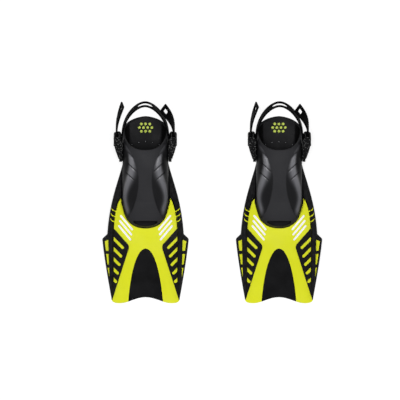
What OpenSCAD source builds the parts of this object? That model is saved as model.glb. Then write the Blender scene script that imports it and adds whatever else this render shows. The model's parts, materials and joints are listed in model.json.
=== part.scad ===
// A pair of open-heel snorkelling fins with adjustable heel straps.
// Each fin lies sole down: X runs across, Y from blade tip to heel, Z up.

/* [Pair] */
// Distance between the middles of the two fins
fin_spacing = 287; // [230:1:400]

/* [Blade] */
// Distance from mid-length to the blade tips
blade_reach = 218; // [200:1:260]
// Width of the blade across its wing shoulders
wing_w = 185.6; // [178:0.2:210]
// Distance from mid-length to the wing shoulders
wing_reach = 81; // [72:1:92]
// Width of the blade just above the wings
root_w = 164.6; // [158:0.2:170]
// Width of the blade at the tip corners
tip_w = 145.8; // [130:0.2:160]
// Depth of the hollow in the trailing edge
tip_hollow = 13; // [4:0.5:25]
// Thickness of the blade
blade_t = 3.5; // [2.5:0.1:5]
// Rise of the blade between toe and tip
web_rise = 12; // [9:0.5:18]
// Length of the blade tongue under the foot, from mid-length
tongue_reach = 30; // [20:1:50]

/* [Vents] */
// Number of vent slots on each side
vent_count = 3; // [1:1:3]
// Length of a vent slot
vent_len = 42; // [25:0.5:44]
// Width of a vent slot
vent_w = 4.2; // [2:0.1:6]
// Distance from one vent slot to the next
vent_pitch = 11; // [8:0.1:11.4]

/* [Centre panel] */
// Width of the soft panel at the trailing edge
panel_w = 74.8; // [50:0.2:90]
// Distance from mid-length to the top of the panel
panel_top = 100; // [95:1:130]
// Step from the blade face down to the panel face
panel_step = 0.6; // [0.2:0.1:1.2]

/* [Side rails] */
// Thickness of the soft cover over each blade face
cover_t = 1.5; // [0.8:0.1:2.5]
// Width of soft cover outside the blade edge
edge_wrap = 2.5; // [1.5:0.1:3.5]
// Width of the raised rib beside the lattice
rib_w = 11.4; // [8:0.1:13]
// Height of the rib above the blade at its heel end
rib_heel_h = 4; // [2:0.5:10]
// Extra height of the rib at its middle
rib_mid_h = 12; // [6:0.5:16]
// Height of the rib above the blade at the tip
rib_tip_h = 3; // [2:0.5:6]
// Rise of the rib's lower edge between toe and tip
rail_rise = 6.5; // [3:0.5:8]
// Number of slanted windows in the lattice
window_count = 5; // [2:1:5]
// Width of a slanted window
window_w = 6; // [3:0.1:7]
// Length of the longest slanted window
window_len = 30; // [20:0.5:31]
// Distance from one slanted window to the next
window_pitch = 22; // [18:0.1:23]
// Width of the border outside the wing windows
wing_border = 5; // [3.5:0.1:6]
// Width of the bars between the wing windows
wing_bar = 7; // [3:0.1:8]
// Width of the stripes set into each rail
stripe_w = 2.6; // [1.5:0.1:4]

/* [Foot pocket] */
// Width of the pocket at the instep and heel
pocket_w = 97.2; // [90:0.2:100]
// Width of the pocket at the ball of the foot
ball_w = 97.6; // [94:0.2:104]
// Distance from the ball of the foot to the toe end
toe_len = 55; // [48:0.1:58]
// Height of the pocket at the instep
instep_h = 80; // [70:0.5:95]
// Height of the pocket at the ball of the foot
ball_h = 50; // [42:0.5:60]
// Height of the pocket at the toes
toe_h = 32; // [26:0.5:40]
// Height that the pocket's side walls run down from at the heel
heel_h = 46; // [36:0.5:60]
// Wall of the pocket
shell_t = 3.5; // [2.5:0.1:5]
// Thickness of the footbed
bed_t = 4; // [2.5:0.1:6]
// Distance from mid-length to the instep lip
lip_reach = 111; // [100:1:125]
// Distance from mid-length to the heel edge
heel_reach = 184.8; // [175:0.2:195]
// Width of the drain opening over the toes
drain_w = 51; // [20:1:54]
// Length of the drain opening over the toes
drain_len = 11; // [6:0.5:13]
// Width of the toe rim in front of the drain opening
drain_rim = 3.2; // [2:0.1:5]

/* [Sole] */
// Thickness of the sole plate
sole_t = 3.5; // [2.5:0.1:5]
// Distance from the pocket's side to the sole's side
sole_inset = 12; // [8:0.5:18]
// Number of tread grooves
tread_count = 9; // [3:1:14]
// Width of a tread groove
tread_w = 3; // [1:0.1:5]
// Depth of a tread groove
tread_d = 1; // [0.4:0.1:1.6]
// Diameter of a heel stud
stud_d = 6; // [4:0.1:8]
// Distance between heel studs
stud_pitch = 9; // [8.5:0.1:11]
// Height of a heel stud
stud_h = 1.6; // [0.8:0.1:2.5]
// Distance from mid-length to the middle of the studs
stud_reach = 160; // [150:1:166]

/* [Heel strap] */
// Width of the strap
strap_w = 24; // [18:0.5:28]
// Thickness of the strap
strap_t = 3.4; // [2.8:0.1:4]
// Slope of the strap loop up towards the heel
strap_slope = 27; // [20:1:40]
// Distance from the pivot posts to the back of the loop
strap_reach = 124.5; // [115:0.5:140]
// Length of the slot at the back of the loop
heel_slot_len = 34; // [20:1:44]
// Width of the slot at the back of the loop
heel_slot_w = 14; // [6:0.5:15]
// Side of the square pull hole in each tail
pull_hole = 10.5; // [7:0.5:12]
// Height of the ladder teeth on the tails
tooth_h = 0.6; // [0.3:0.1:0.8]
// Distance from one ladder tooth to the next
tooth_pitch = 4; // [3:0.5:6]
// Twist of the left tail
left_twist = 12; // [0:1:40]
// Twist of the right tail
right_twist = 38; // [0:1:45]

/* [Buckles] */
// Distance from mid-length to the pivot posts
post_reach = 99; // [94:1:104]
// Height of the pivot posts above the floor
post_z = 38; // [32:0.5:44]
// Diameter of a pivot post
post_d = 10; // [7:0.1:12]
// Diameter of the flange behind the buckle on its post
post_flange_d = 22; // [18:0.5:24]
// Diameter of the head that holds the buckle on its post
post_head_d = 14; // [12:0.5:16]
// Thickness of the flange of a post
post_flange_t = 1; // [0.8:0.1:2]
// Diameter of the buckle eye
eye_d = 26; // [24:0.5:28]
// Thickness of the buckle eye
eye_t = 6; // [4:0.1:7]
// Thickness of a buckle cheek
cheek_t = 2.8; // [2:0.1:4]
// Length of a buckle cheek, from the post to its heel end
cheek_len = 51; // [48:0.5:60]
// Number of grip ribs across a cheek
cheek_rib_count = 9; // [4:1:11]
// Height of the grip ribs across a cheek
cheek_rib_h = 0.7; // [0.4:0.1:1]
// Diameter of the strap roller
roller_d = 4; // [3.6:0.1:5]
// Diameter of the roller and lever pins
pin_d = 2; // [1.6:0.1:2.2]
// Distance from the post to the roller
roller_reach = 18; // [17.5:0.5:21]
// Distance from the post to the lever pin
lever_reach = 33; // [31:0.5:36]
// Diameter of the lever's hub
hub_d = 5; // [4.4:0.1:5.6]
// Number of grip ribs on a lever
grip_count = 5; // [2:1:6]

/* [Fits] */
// Gap all round a turning pin
running_gap = 0.05; // [0.02:0.01:0.08]
// Gap round a pin that is held fast
press_gap = 0.02; // [0.01:0.01:0.04]
// Gap where a moulded piece lies on another
seat_gap = 0.25; // [0.15:0.05:0.4]
// Gap beside a sliding or turning face
side_gap = 0.4; // [0.3:0.05:0.6]

/* [Hidden] */
$fn = 48;
yellow = [0.86, 0.88, 0.12];
lime = [0.78, 0.86, 0.25];
black = [0.1, 0.1, 0.11];
charcoal = [0.22, 0.22, 0.24];
steel = [0.7, 0.71, 0.73];

// Curves shared by the outlines
function bez(p, t) = pow(1 - t, 3) * p[0] + 3 * t * pow(1 - t, 2) * p[1]
    + 3 * t * t * (1 - t) * p[2] + pow(t, 3) * p[3];
function curve(p, n) = [for (i = [0:n]) bez(p, i / n)];
function clamp(v) = max(0, min(1, v));
function ease(t) = let (c = clamp(t)) c * c * (3 - 2 * c);
function reversed(list) = [for (i = [len(list) - 1:-1:0]) list[i]];
function flipped(list) = [for (p = list) [-p[0], p[1]]];
function spow(v, e) = sign(v) * pow(abs(v), e);

// Side view: the blade and the rails rise from the sole and come down again at the tips
waist_y = 82;
flat_y = 70;
stations = 18;
function rise(y) = (1 - cos(360 * clamp((flat_y - y) / (flat_y + blade_reach)))) / 2;
function web_z(y) = web_rise * rise(y);
function rail_z(y) = rail_rise * rise(y);
function along(y) = clamp((y + blade_reach) / (waist_y + blade_reach));
function rib_h(y) = let (k = along(y))
    rib_tip_h * (1 - k) + rib_heel_h * k + rib_mid_h * 4 * k * (1 - k);
function rib_top(y) = web_z(y) + blade_t + rib_h(y);
y_list = concat(
    [for (i = [0:stations]) -blade_reach - 1 + (flat_y + blade_reach + 1) * i / stations],
    [heel_reach + 1]
);
module slab(low, high) {
    rotate([90, 0, 90])
        linear_extrude(height = wing_w + 20, center = true)
            polygon(concat(
                [for (y = y_list) [y, low(y)]],
                [for (y = reversed(y_list)) [y, high(y)]]
            ));
}

// Plan of the foot pocket, as half widths
ball_y = 0;
toe_power = 2.25;
heel_taper_y = 140;
heel_taper = 3;
function pocket_half(y, inset = 0) =
    y < ball_y ? (ball_w / 2 - inset)
        * pow(max(0, 1 - pow((ball_y - y) / (toe_len - inset), toe_power)), 1 / toe_power)
    : y < heel_taper_y
        ? ball_w / 2 - inset - (ball_w - pocket_w) / 2 * ease((y - ball_y) / (waist_y - ball_y))
    : pocket_w / 2 - inset - heel_taper * pow((y - heel_taper_y) / (heel_reach - heel_taper_y), 1.5);

// Plan of one half of the fin, from the waist to the middle of the trailing edge
waist_half = pocket_w / 2 + 0.8;
tip_y = 7.2 - blade_reach;
lobe_x = 57;
side_edge = curve([
    [waist_half, waist_y], [waist_half + 8.8, 45], [root_w / 2 - 4.8, 5], [root_w / 2, 12 - wing_reach]
], 9);
wing_corner = curve([
    [wing_w / 2 - 3, 5 - wing_reach], [wing_w / 2 + 0.2, 2.6 - wing_reach],
    [wing_w / 2, 0.5 - wing_reach], [wing_w / 2 - 0.1, -1.5 - wing_reach]
], 4);
wing_edge = curve([
    [wing_w / 2 - 0.2, -2 - wing_reach], [wing_w / 2 - 3.4, -35 - wing_reach],
    [tip_w / 2 + 8.4, tip_y + 46], [tip_w / 2, tip_y]
], 7);
tip_edge = concat(
    curve([[tip_w / 2 - 0.2, tip_y - 1], [tip_w / 2 - 1.4, tip_y - 4.8],
        [lobe_x + 9, -blade_reach], [lobe_x, -blade_reach]], 5),
    curve([[lobe_x - 3, -blade_reach], [lobe_x - 19, -blade_reach],
        [lobe_x - 36, tip_hollow - blade_reach], [0, tip_hollow - blade_reach]], 7)
);
outer_edge = concat(side_edge, wing_corner, wing_edge);
function edge_half(y) = lookup(y, [for (p = outer_edge) [p[1], p[0]]]);
wrap_run = 45;
function blade_half(x, y) = x - edge_wrap * clamp((y - tip_y) / wrap_run);

// Plan of the soft side rails
// The ribs stand in from the mean of the root's and the wing's half widths
rib_inset = 7.75;
rib_root = (root_w + wing_w) / 4 - rib_inset;
rib_turn_y = -84 - wing_reach;
rib_tip = [tip_w / 2 - 1.2, tip_w / 2];
function rib_out(y) = lookup(y, [[tip_y, rib_tip[1]], [rib_turn_y, rib_root - 2], [-wing_reach, rib_root]]);
function rib_in(y) = lookup(y, [[tip_y, rib_tip[0]], [rib_turn_y, rib_root - rib_w]]);
rib_inner_edge = [for (y = [tip_y, rib_turn_y, -wing_reach]) [rib_in(y), y]];
rib_outer_edge = [for (y = [-wing_reach, rib_turn_y, tip_y]) [rib_out(y), y]];
horn_y = 5.5;
horn_x = ball_w / 2 + 6.5;
elbow_x = 36;
elbow_y = -18 - wing_reach;
horn_foot = [rib_in(-wing_reach) - 0.5, 24 - wing_reach];
horn_edge = curve([horn_foot, horn_foot + [-1.8, 27], [horn_x + 7, horn_y - 14], [horn_x, horn_y]], 6);
elbow = curve([[elbow_x + 0.6, elbow_y - 3], [elbow_x - 0.6, elbow_y + 1],
    [elbow_x - 0.4, elbow_y + 5], [elbow_x + 1.8, elbow_y + 8]], 4);
pocket_side = [for (y = [10:12:waist_y]) [pocket_half(y) + seat_gap, y]];
waist_end = [[pocket_half(waist_y) + seat_gap, waist_y]];
module rail_plan() {
    polygon(concat(outer_edge, [rib_inner_edge[0]], elbow, horn_edge, pocket_side, waist_end));
}
module rib_plan() {
    polygon(concat(side_edge, rib_outer_edge, rib_inner_edge, horn_edge, pocket_side, waist_end));
}

// Openings through the rails, filled by raised pads of the blade
window_top = 6 - wing_reach;
window_slant = 45;
window_shrink = 5.2;
module slanted_window(i) {
    y = window_top - window_pitch * i;
    run = window_len - window_shrink * i;
    intersection() {
        translate([rib_in(y), y - 4])
            rotate(180 + window_slant) {
                translate([-window_w, -window_w / 2])
                    square([run + window_w / 2, window_w]);
                translate([run - window_w / 2, 0])
                    circle(d = window_w);
            }
        polygon(concat(rib_inner_edge, [[rib_in(0), 0], [0, 0], [0, tip_y]]));
    }
}
wing_cuts = [0, 27.4, 57, 79];
module wing_window(i) {
    top = -wing_reach - wing_cuts[i] - (i == 0 ? 0 : wing_bar / 2);
    low = -wing_reach - wing_cuts[i + 1] + (i == 2 ? 0 : wing_bar / 2);
    border = wing_border - 0.9 * i;
    polygon([
        [rib_out(top), top], [edge_half(top) - border, top - (i == 0 ? 3.5 : 0)],
        [max(rib_out(low) + 0.3, edge_half(low) - border), low], [rib_out(low), low]
    ]);
}
stripe_first = -11.3;
stripe_pitch = 11.3;
stripe_bend = [[0, 0], [-0.8, -4], [-3.5, -6.2], [-11, -8.4]];
module stripe(i) {
    y = stripe_first - stripe_pitch * i;
    bend = curve([for (p = stripe_bend) p + [edge_half(y) - 1.6 - 0.9 * i, y]], 6);
    polygon(concat(bend, [for (p = reversed(bend)) p - [0, stripe_w]]));
}
module windows() {
    for (i = [0:window_count - 1])
        slanted_window(i);
    for (i = [0:2])
        wing_window(i);
}
module stripes() {
    for (i = [0:2])
        intersection() {
            stripe(i);
            rib_plan();
        }
}

module both_sides() {
    children();
    mirror([1, 0, 0])
        children();
}

// Yellow blade: plate, raised window pads and stripe fins, with vents and the panel cut-out
blade_side = [for (p = outer_edge) if (p[1] < tongue_reach) [blade_half(p[0], p[1]), p[1]]];
tongue_end = [[blade_half(edge_half(tongue_reach), tongue_reach), tongue_reach]];
half_blade = concat(tongue_end, blade_side, tip_edge);
module blade_plan() {
    polygon(concat(half_blade, reversed(flipped(half_blade))));
}
vent_angle = 230;
vent_first = [ball_w / 2 + 5.7, ball_y - 28.5];
vent_row = 280;
module vents() {
    for (i = [0:vent_count - 1])
        translate(vent_first + vent_pitch * i * [cos(vent_row), sin(vent_row)])
            rotate(vent_angle) {
                translate([vent_w / 2, -vent_w / 2])
                    square([vent_len - vent_w, vent_w]);
                translate([vent_w / 2, 0])
                    circle(d = vent_w);
                translate([vent_len - vent_w / 2, 0])
                    circle(d = vent_w);
            }
}
module panel_plan() {
    half = curve([[0, -panel_top], [18, -panel_top], [panel_w / 2 - 4.5, -panel_top - 50],
        [panel_w / 2 + 0.4, -blade_reach - 2]], 10);
    intersection() {
        polygon(concat(half, reversed(flipped(half))));
        blade_plan();
    }
}
module blade() {
    color(yellow)
        union() {
            intersection() {
                linear_extrude(height = instep_h)
                    difference() {
                        blade_plan();
                        panel_plan();
                        both_sides() vents();
                    }
                slab(function(y) web_z(y), function(y) web_z(y) + blade_t);
            }
            both_sides() {
                intersection() {
                    linear_extrude(height = instep_h)
                        windows();
                    slab(function(y) web_z(y) + blade_t / 2, function(y) web_z(y) + blade_t + cover_t);
                }
                intersection() {
                    linear_extrude(height = instep_h)
                        stripes();
                    slab(function(y) web_z(y) + blade_t / 2, function(y) rib_top(y));
                }
            }
        }
}
module centre_panel() {
    color(black)
        intersection() {
            linear_extrude(height = instep_h)
                panel_plan();
            slab(function(y) web_z(y) + panel_step, function(y) web_z(y) + blade_t - panel_step);
        }
}
module rail() {
    color(black)
        difference() {
            union() {
                intersection() {
                    linear_extrude(height = instep_h)
                        difference() {
                            rail_plan();
                            windows();
                        }
                    slab(function(y) max(0, web_z(y) - cover_t), function(y) web_z(y) + blade_t + cover_t);
                }
                intersection() {
                    linear_extrude(height = instep_h)
                        rib_plan();
                    slab(function(y) rail_z(y), function(y) rib_top(y));
                }
            }
            intersection() {
                linear_extrude(height = instep_h)
                    blade_plan();
                slab(function(y) web_z(y), function(y) web_z(y) + blade_t);
            }
            intersection() {
                linear_extrude(height = instep_h)
                    stripes();
                slab(function(y) web_z(y), function(y) rib_top(y) + 1);
            }
        }
}

// Foot pocket: one lofted shell, open at the heel, closed at the toe
ring_count = 24;
ring_points = 32;
upper_power = 2.5;
lower_power = 4;
bulge = 0.32;
lip_side_y = 157;
function top_h(y) = y > ball_y
    ? ball_h + (instep_h - ball_h) * sin(90 * clamp((y - ball_y) / (lip_reach - ball_y)))
        - (instep_h - heel_h) * ease((y - lip_reach) / (lip_side_y - lip_reach))
    : let (t = clamp((ball_y - y) / toe_len)) (ball_h + (toe_h - ball_h) * t) * sqrt(1 - pow(t, 8));
function floor_z(y) = web_z(y) + sole_t + seat_gap;
function lip_y(a) = sin(a) > 0
    ? lip_side_y - (lip_side_y - lip_reach) * pow(sin(a), 1.1)
    : lip_side_y + (heel_reach - lip_side_y) * sqrt(1 - abs(cos(a)));
function pocket_point(a, y, inset, lift) =
    let (h = max(lift + 2, top_h(y) - inset), mid = bulge * h, low = floor_z(y) + lift,
        x = pocket_half(y, inset) * spow(cos(a), 2 / (sin(a) > 0 ? upper_power : lower_power)),
        z = sin(a) > 0 ? mid + (h - mid) * pow(sin(a), 2 / upper_power)
            : mid - (mid + 1.5) * pow(-sin(a), 2 / lower_power))
    [x, y, max(low, floor_z(y) + z)];
function pocket_ring(i, inset, lift) =
    let (toe_y = ball_y - (toe_len - inset) * 0.985, u = 1 - pow(1 - i / ring_count, 1.7))
    [for (k = [0:ring_points - 1])
        let (a = 360 * k / ring_points, y = lip_y(a) + (toe_y - lip_y(a)) * u)
        pocket_point(a, y, inset, lift)];
function mean(list, i = 0) = i == len(list) ? [0, 0, 0] : list[i] / len(list) + mean(list, i + 1);
module foot_pocket() {
    n = ring_points;
    m = ring_count + 1;
    outer = [for (i = [0:ring_count]) each pocket_ring(i, 0, 0)];
    inner = [for (i = [0:ring_count]) each pocket_ring(i, shell_t, bed_t)];
    toe_out = mean(pocket_ring(ring_count, 0, 0));
    toe_in = mean(pocket_ring(ring_count, shell_t, bed_t));
    skin = [for (i = [0:m - 2], k = [0:n - 1]) let (q = (k + 1) % n)
        each [[i * n + k, i * n + q, (i + 1) * n + q], [i * n + k, (i + 1) * n + q, (i + 1) * n + k]]];
    lining = [for (f = skin) [f[2] + n * m, f[1] + n * m, f[0] + n * m]];
    lip = [for (k = [0:n - 1]) let (q = (k + 1) % n) each [[k, n * m + q, q], [k, n * m + k, n * m + q]]];
    caps = [for (k = [0:n - 1]) let (q = (k + 1) % n) each [
        [(m - 1) * n + k, (m - 1) * n + q, 2 * n * m],
        [n * m + (m - 1) * n + q, n * m + (m - 1) * n + k, 2 * n * m + 1]]];
    color(charcoal)
        difference() {
            polyhedron(concat(outer, inner, [toe_out, toe_in]), concat(skin, lining, lip, caps));
            translate([0, 0, floor_z(ball_y - toe_len) + bed_t + toe_h / 4])
                linear_extrude(height = instep_h)
                    drain_plan();
        }
}
drain_steps = 10;
drain_edge = [for (i = [0:drain_steps])
    let (y = ball_y + drain_rim - toe_len + drain_len * pow(i / drain_steps, 2))
        [min(drain_w / 2, pocket_half(y, drain_rim)), y]];
module drain_plan() {
    polygon(concat(drain_edge, [for (i = [drain_steps:-1:1]) [-drain_edge[i][0], drain_edge[i][1]]]));
}

// Sole plate under the pocket, with tread grooves across it
sole_end = heel_reach - 5;
sole_round = 26;
function sole_half(y) = (pocket_half(y) - sole_inset)
    * pow(1 - pow(clamp((y - sole_end + sole_round) / sole_round), 2.4), 1 / 2.4);
sole_y = concat([for (i = [0:10]) tongue_reach + (sole_end - sole_round - tongue_reach) * i / 10],
    [for (i = [1:8]) sole_end - sole_round * pow(1 - i / 8, 2)]);
tread_first = tongue_reach + 42;
module sole_plate() {
    half = [for (y = sole_y) [sole_half(y), y]];
    color(black)
        difference() {
            intersection() {
                linear_extrude(height = instep_h)
                    polygon(concat(half, reversed(flipped(half))));
                slab(function(y) web_z(y), function(y) web_z(y) + sole_t);
            }
            for (i = [0:tread_count - 1])
                translate([0, tread_first + (sole_end - 12 - tread_first) * i / (tread_count - 1), 0])
                    cube([pocket_w, tread_w, 2 * tread_d], center = true);
        }
}
module heel_studs() {
    color(lime)
        for (row = [-1:1], k = [0:3 - abs(row)])
            translate([(k - (3 - abs(row)) / 2) * stud_pitch, stud_reach + row * stud_pitch * 0.87,
                floor_z(stud_reach) + bed_t])
                stud();
}
module stud() {
    ball_r = (stud_d * stud_d / 4 + stud_h * stud_h) / (2 * stud_h);
    intersection() {
        translate([0, 0, stud_h - ball_r])
            sphere(r = ball_r);
        cylinder(d = stud_d, h = stud_h);
    }
}

// The strap, its buckles and their pins lie in the plane of the loop, with the posts at its origin
post_x = pocket_w / 2 + seat_gap;
eye_x = post_x + post_flange_t + side_gap / 2;
wrap_r = roller_d / 2 + 0.3 + strap_t / 2;
roller_x = eye_x + strap_t / 2 + wrap_r;
tail_x = roller_x + wrap_r;
leg_x = roller_x - wrap_r;
lever_x = tail_x + strap_t / 2 + tooth_h + side_gap + hub_d / 2 + 0.3;
cheek_z = strap_w / 2 + side_gap;
module in_loop() {
    translate([0, post_reach, post_z])
        rotate([strap_slope, 0, 0])
            children();
}

// Strap: one band swept from tail end to tail end, round both rollers and the heel
tail_grip = cheek_len - 1;
tail_flare = 1.1;
tail_steps = 12;
tail_start = [[tail_x + tail_flare, tail_grip], [tail_x + 2 * tail_flare, tail_grip + 30]];
left_tail = curve(concat(tail_start, [[56, 98], [47.5, strap_reach - 1.5]]), tail_steps);
right_tail = curve(concat(tail_start, [[54, 92], [37, strap_reach - 9]]), tail_steps);
grip_start = roller_reach + 2;
grip_len = tail_grip - grip_start;
tooth_steps = 2 * floor(grip_len / tooth_pitch);
grip_run = [for (i = [tooth_steps - 1:-1:0])
    let (t = i / tooth_steps) [tail_x + tail_flare * t, grip_start + grip_len * t]];
turn_steps = 8;
turn = [for (i = [0:turn_steps]) let (a = 180 * i / turn_steps)
    [roller_x, roller_reach] + wrap_r * [cos(a), -sin(a)]];
loop_half = concat(
    curve([[leg_x, roller_reach + 3], [leg_x - 0.5, 28], [leg_x - 1, 36], [leg_x - 2.2, 47]], 4),
    curve([[leg_x - 2.6, 52], [leg_x - 5.8, 95], [18, strap_reach - strap_t / 2],
        [0, strap_reach - strap_t / 2]], 12)
);
right_run = concat(reversed(right_tail), grip_run, turn, loop_half);
left_run = concat(reversed(left_tail), grip_run, turn, loop_half);
tail_points = tail_steps + 1;
function tail_twist(i, twist) = i < tail_points ? twist * ease(1 - i / (tail_points - 1)) : 0;
function is_tooth(i) = i >= tail_points && i < tail_points + tooth_steps && i % 2 == 0;
path = concat(right_run, [for (i = [len(left_run) - 2:-1:0]) [-left_run[i][0], left_run[i][1]]]);
twists = concat([for (i = [0:len(right_run) - 1]) tail_twist(i, right_twist)],
    [for (i = [len(left_run) - 2:-1:0]) tail_twist(i, left_twist)]);
teeth = concat([for (i = [0:len(right_run) - 1]) is_tooth(i) ? tooth_h : 0],
    [for (i = [len(left_run) - 2:-1:0]) is_tooth(i) ? tooth_h : 0]);
strap_edge = 0.8;
function heading(i) = let (d = path[min(i + 1, len(path) - 1)] - path[max(i - 1, 0)]) d / norm(d);
// Section points as [towards the inner face, across the width]; the teeth stand on the outer face
function section(bump) = let (h = strap_t / 2, w = strap_w / 2, e = strap_edge) [
    [h, e - w], [h, w - e], [h - e, w], [e - h, w],
    [-h - bump, w - e], [-h - bump, e - w], [e - h, -w], [h - e, -w]];
function strap_ring(i) = let (d = heading(i), out = [-d[1], d[0]], c = cos(twists[i]), s = sin(twists[i]))
    [for (q = section(teeth[i])) let (n = c * q[0] + s * q[1], w = c * q[1] - s * q[0])
        [path[i][0] - n * out[0], path[i][1] - n * out[1], w]];
module heel_strap() {
    n = 8;
    m = len(path);
    points = [for (i = [0:m - 1]) each strap_ring(i)];
    sides = [for (i = [0:m - 2], k = [0:n - 1]) let (q = (k + 1) % n)
        each [[i * n + k, (i + 1) * n + q, i * n + q], [i * n + k, (i + 1) * n + k, (i + 1) * n + q]]];
    ends = concat([for (k = [1:n - 2]) [0, k, k + 1]],
        [for (k = [1:n - 2]) [(m - 1) * n, (m - 1) * n + k + 1, (m - 1) * n + k]]);
    color(black)
        in_loop()
            difference() {
                polyhedron(points, concat(sides, ends));
                translate([0, strap_reach + 5, 0])
                    rotate([90, 0, 0])
                        linear_extrude(height = 34)
                            heel_slot();
                pull_hole_cut(right_tail, right_twist, 1);
                pull_hole_cut(left_tail, left_twist, -1);
            }
}
module heel_slot() {
    square([heel_slot_len - heel_slot_w, heel_slot_w], center = true);
    for (s = [-1, 1])
        translate([s * (heel_slot_len - heel_slot_w) / 2, 0])
            circle(d = heel_slot_w);
}
module pull_hole_cut(tail, twist, side) {
    d = tail[tail_steps] - tail[tail_steps - 2];
    heading = atan2(side * d[0], d[1]);
    at = tail[tail_steps - 2] + d * 0.1;
    translate([side * at[0], at[1], 0])
        rotate([0, 0, -heading])
            rotate([0, -side * twist, 0])
                cube([4 * strap_t, pull_hole, pull_hole], center = true);
}

// Post moulded into the pocket's side, which the buckle turns on
post_len = post_flange_t + eye_t + side_gap;
post_head_t = 1.6;
module post() {
    color(black)
        translate([post_x, post_reach, post_z])
            rotate([0, 90, 0]) {
                cylinder(d = post_flange_d, h = post_flange_t);
                cylinder(d = post_d, h = post_len + post_head_t / 2);
                translate([0, 0, post_len])
                    cylinder(d = post_head_d, h = post_head_t);
            }
}
eye_front = roller_reach - wrap_r - strap_t / 2 - side_gap;
bar_x = roller_x + 0.5;
bar_d = 3.4;
bar_reach = cheek_len - 4;
boss_d = 3 * pin_d + 4;
cheek_rib_w = 2;
cheek_rib_start = 4;
cheek_out = lever_x + hub_d / 2 - 0.4;
module cheek_plan() {
    difference() {
        union() {
            polygon([
                [eye_x, 2], [eye_x + 0.3, lever_reach], [eye_x + 1.2, cheek_len - 6],
                [eye_x + 2.8, cheek_len - 2.2], [eye_x + 5.2, cheek_len], [cheek_out - 5, cheek_len],
                [cheek_out - 2.2, cheek_len - 2], [cheek_out - 0.8, cheek_len - 6],
                [cheek_out - 0.6, lever_reach],
                [tail_x + strap_t, roller_reach], [eye_x + eye_t + 2, 2]
            ]);
            translate([lever_x, lever_reach])
                circle(d = hub_d);
            translate([roller_x, roller_reach])
                circle(d = boss_d);
        }
        translate([lever_x, lever_reach])
            circle(d = pin_d + 2 * press_gap);
        translate([roller_x, roller_reach])
            circle(d = pin_d + 2 * press_gap);
    }
}
module cheek_ribs() {
    intersection() {
        cheek_plan();
        for (i = [0:cheek_rib_count - 1])
            translate([0, cheek_rib_start + (bar_reach - cheek_rib_start) * i / (cheek_rib_count - 1)])
                square([2 * cheek_out, cheek_rib_w]);
    }
}
module buckle_frame() {
    color(black)
        in_loop()
            difference() {
                union() {
                    intersection() {
                        translate([eye_x, 0, 0])
                            rotate([0, 90, 0])
                                cylinder(d = eye_d, h = eye_t);
                        translate([eye_x - 1, eye_front - eye_d, -eye_d])
                            cube([eye_t + 2, eye_d, 2 * eye_d]);
                    }
                    translate([eye_x, 0, -cheek_z - cheek_t])
                        cube([eye_t, eye_front, 2 * (cheek_z + cheek_t)]);
                    for (s = [-1, 1]) {
                        translate([0, 0, s * (cheek_z + cheek_t / 2)])
                            linear_extrude(height = cheek_t, center = true)
                                cheek_plan();
                        translate([0, 0, s * (cheek_z + cheek_t)])
                            linear_extrude(height = 2 * cheek_rib_h, center = true)
                                cheek_ribs();
                    }
                    translate([bar_x, bar_reach, -cheek_z - cheek_t / 2])
                        cylinder(d = bar_d, h = 2 * cheek_z + cheek_t);
                }
                translate([eye_x - 1, 0, 0])
                    rotate([0, 90, 0])
                        cylinder(d = post_d + 2 * running_gap, h = eye_t + 2);
            }
}
module pin_at(x, reach) {
    color(steel)
        in_loop()
            translate([x, reach, -cheek_z - cheek_t])
                cylinder(d = pin_d, h = 2 * (cheek_z + cheek_t));
}
module roller_pin() {
    pin_at(roller_x, roller_reach);
}
module lever_pin() {
    pin_at(lever_x, lever_reach);
}
module roller() {
    color(charcoal)
        in_loop()
            translate([roller_x, roller_reach, side_gap - cheek_z])
                difference() {
                    cylinder(d = roller_d, h = 2 * (cheek_z - side_gap));
                    translate([0, 0, -1])
                        cylinder(d = pin_d + 2 * running_gap, h = 2 * cheek_z + 2);
                }
}
tab_in = tail_x + tail_flare + strap_t / 2 + tooth_h + side_gap;
tab_len = cheek_len - lever_reach;
grip_d = 2;
lever_w = 2 * (cheek_z - side_gap);
module lock_lever() {
    color(black)
        in_loop()
            translate([0, 0, -lever_w / 2])
                difference() {
                    union() {
                        translate([lever_x, lever_reach, 0])
                            cylinder(d = hub_d, h = lever_w);
                        linear_extrude(height = lever_w)
                            tab_plan();
                    }
                    translate([lever_x, lever_reach, -1])
                        cylinder(d = pin_d + 2 * running_gap, h = lever_w + 2);
                }
}
module tab_plan() {
    difference() {
        polygon([
            [lever_x - 1.2, lever_reach], [tab_in + 0.3, lever_reach + 5],
            [tab_in + 0.7, lever_reach + tab_len - 3], [tab_in + 1.8, lever_reach + tab_len],
            [cheek_out - 1.8, lever_reach + tab_len], [cheek_out, lever_reach + tab_len - 2.2],
            [cheek_out + 0.4, lever_reach + tab_len - 5], [cheek_out + 0.1, lever_reach + 4],
            [lever_x + 1.8, lever_reach]
        ]);
        for (i = [0:grip_count - 1])
            translate([cheek_out + 0.7, lever_reach + 5 + (tab_len - 8) * i / (grip_count - 1)])
                circle(d = grip_d);
    }
}

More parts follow.
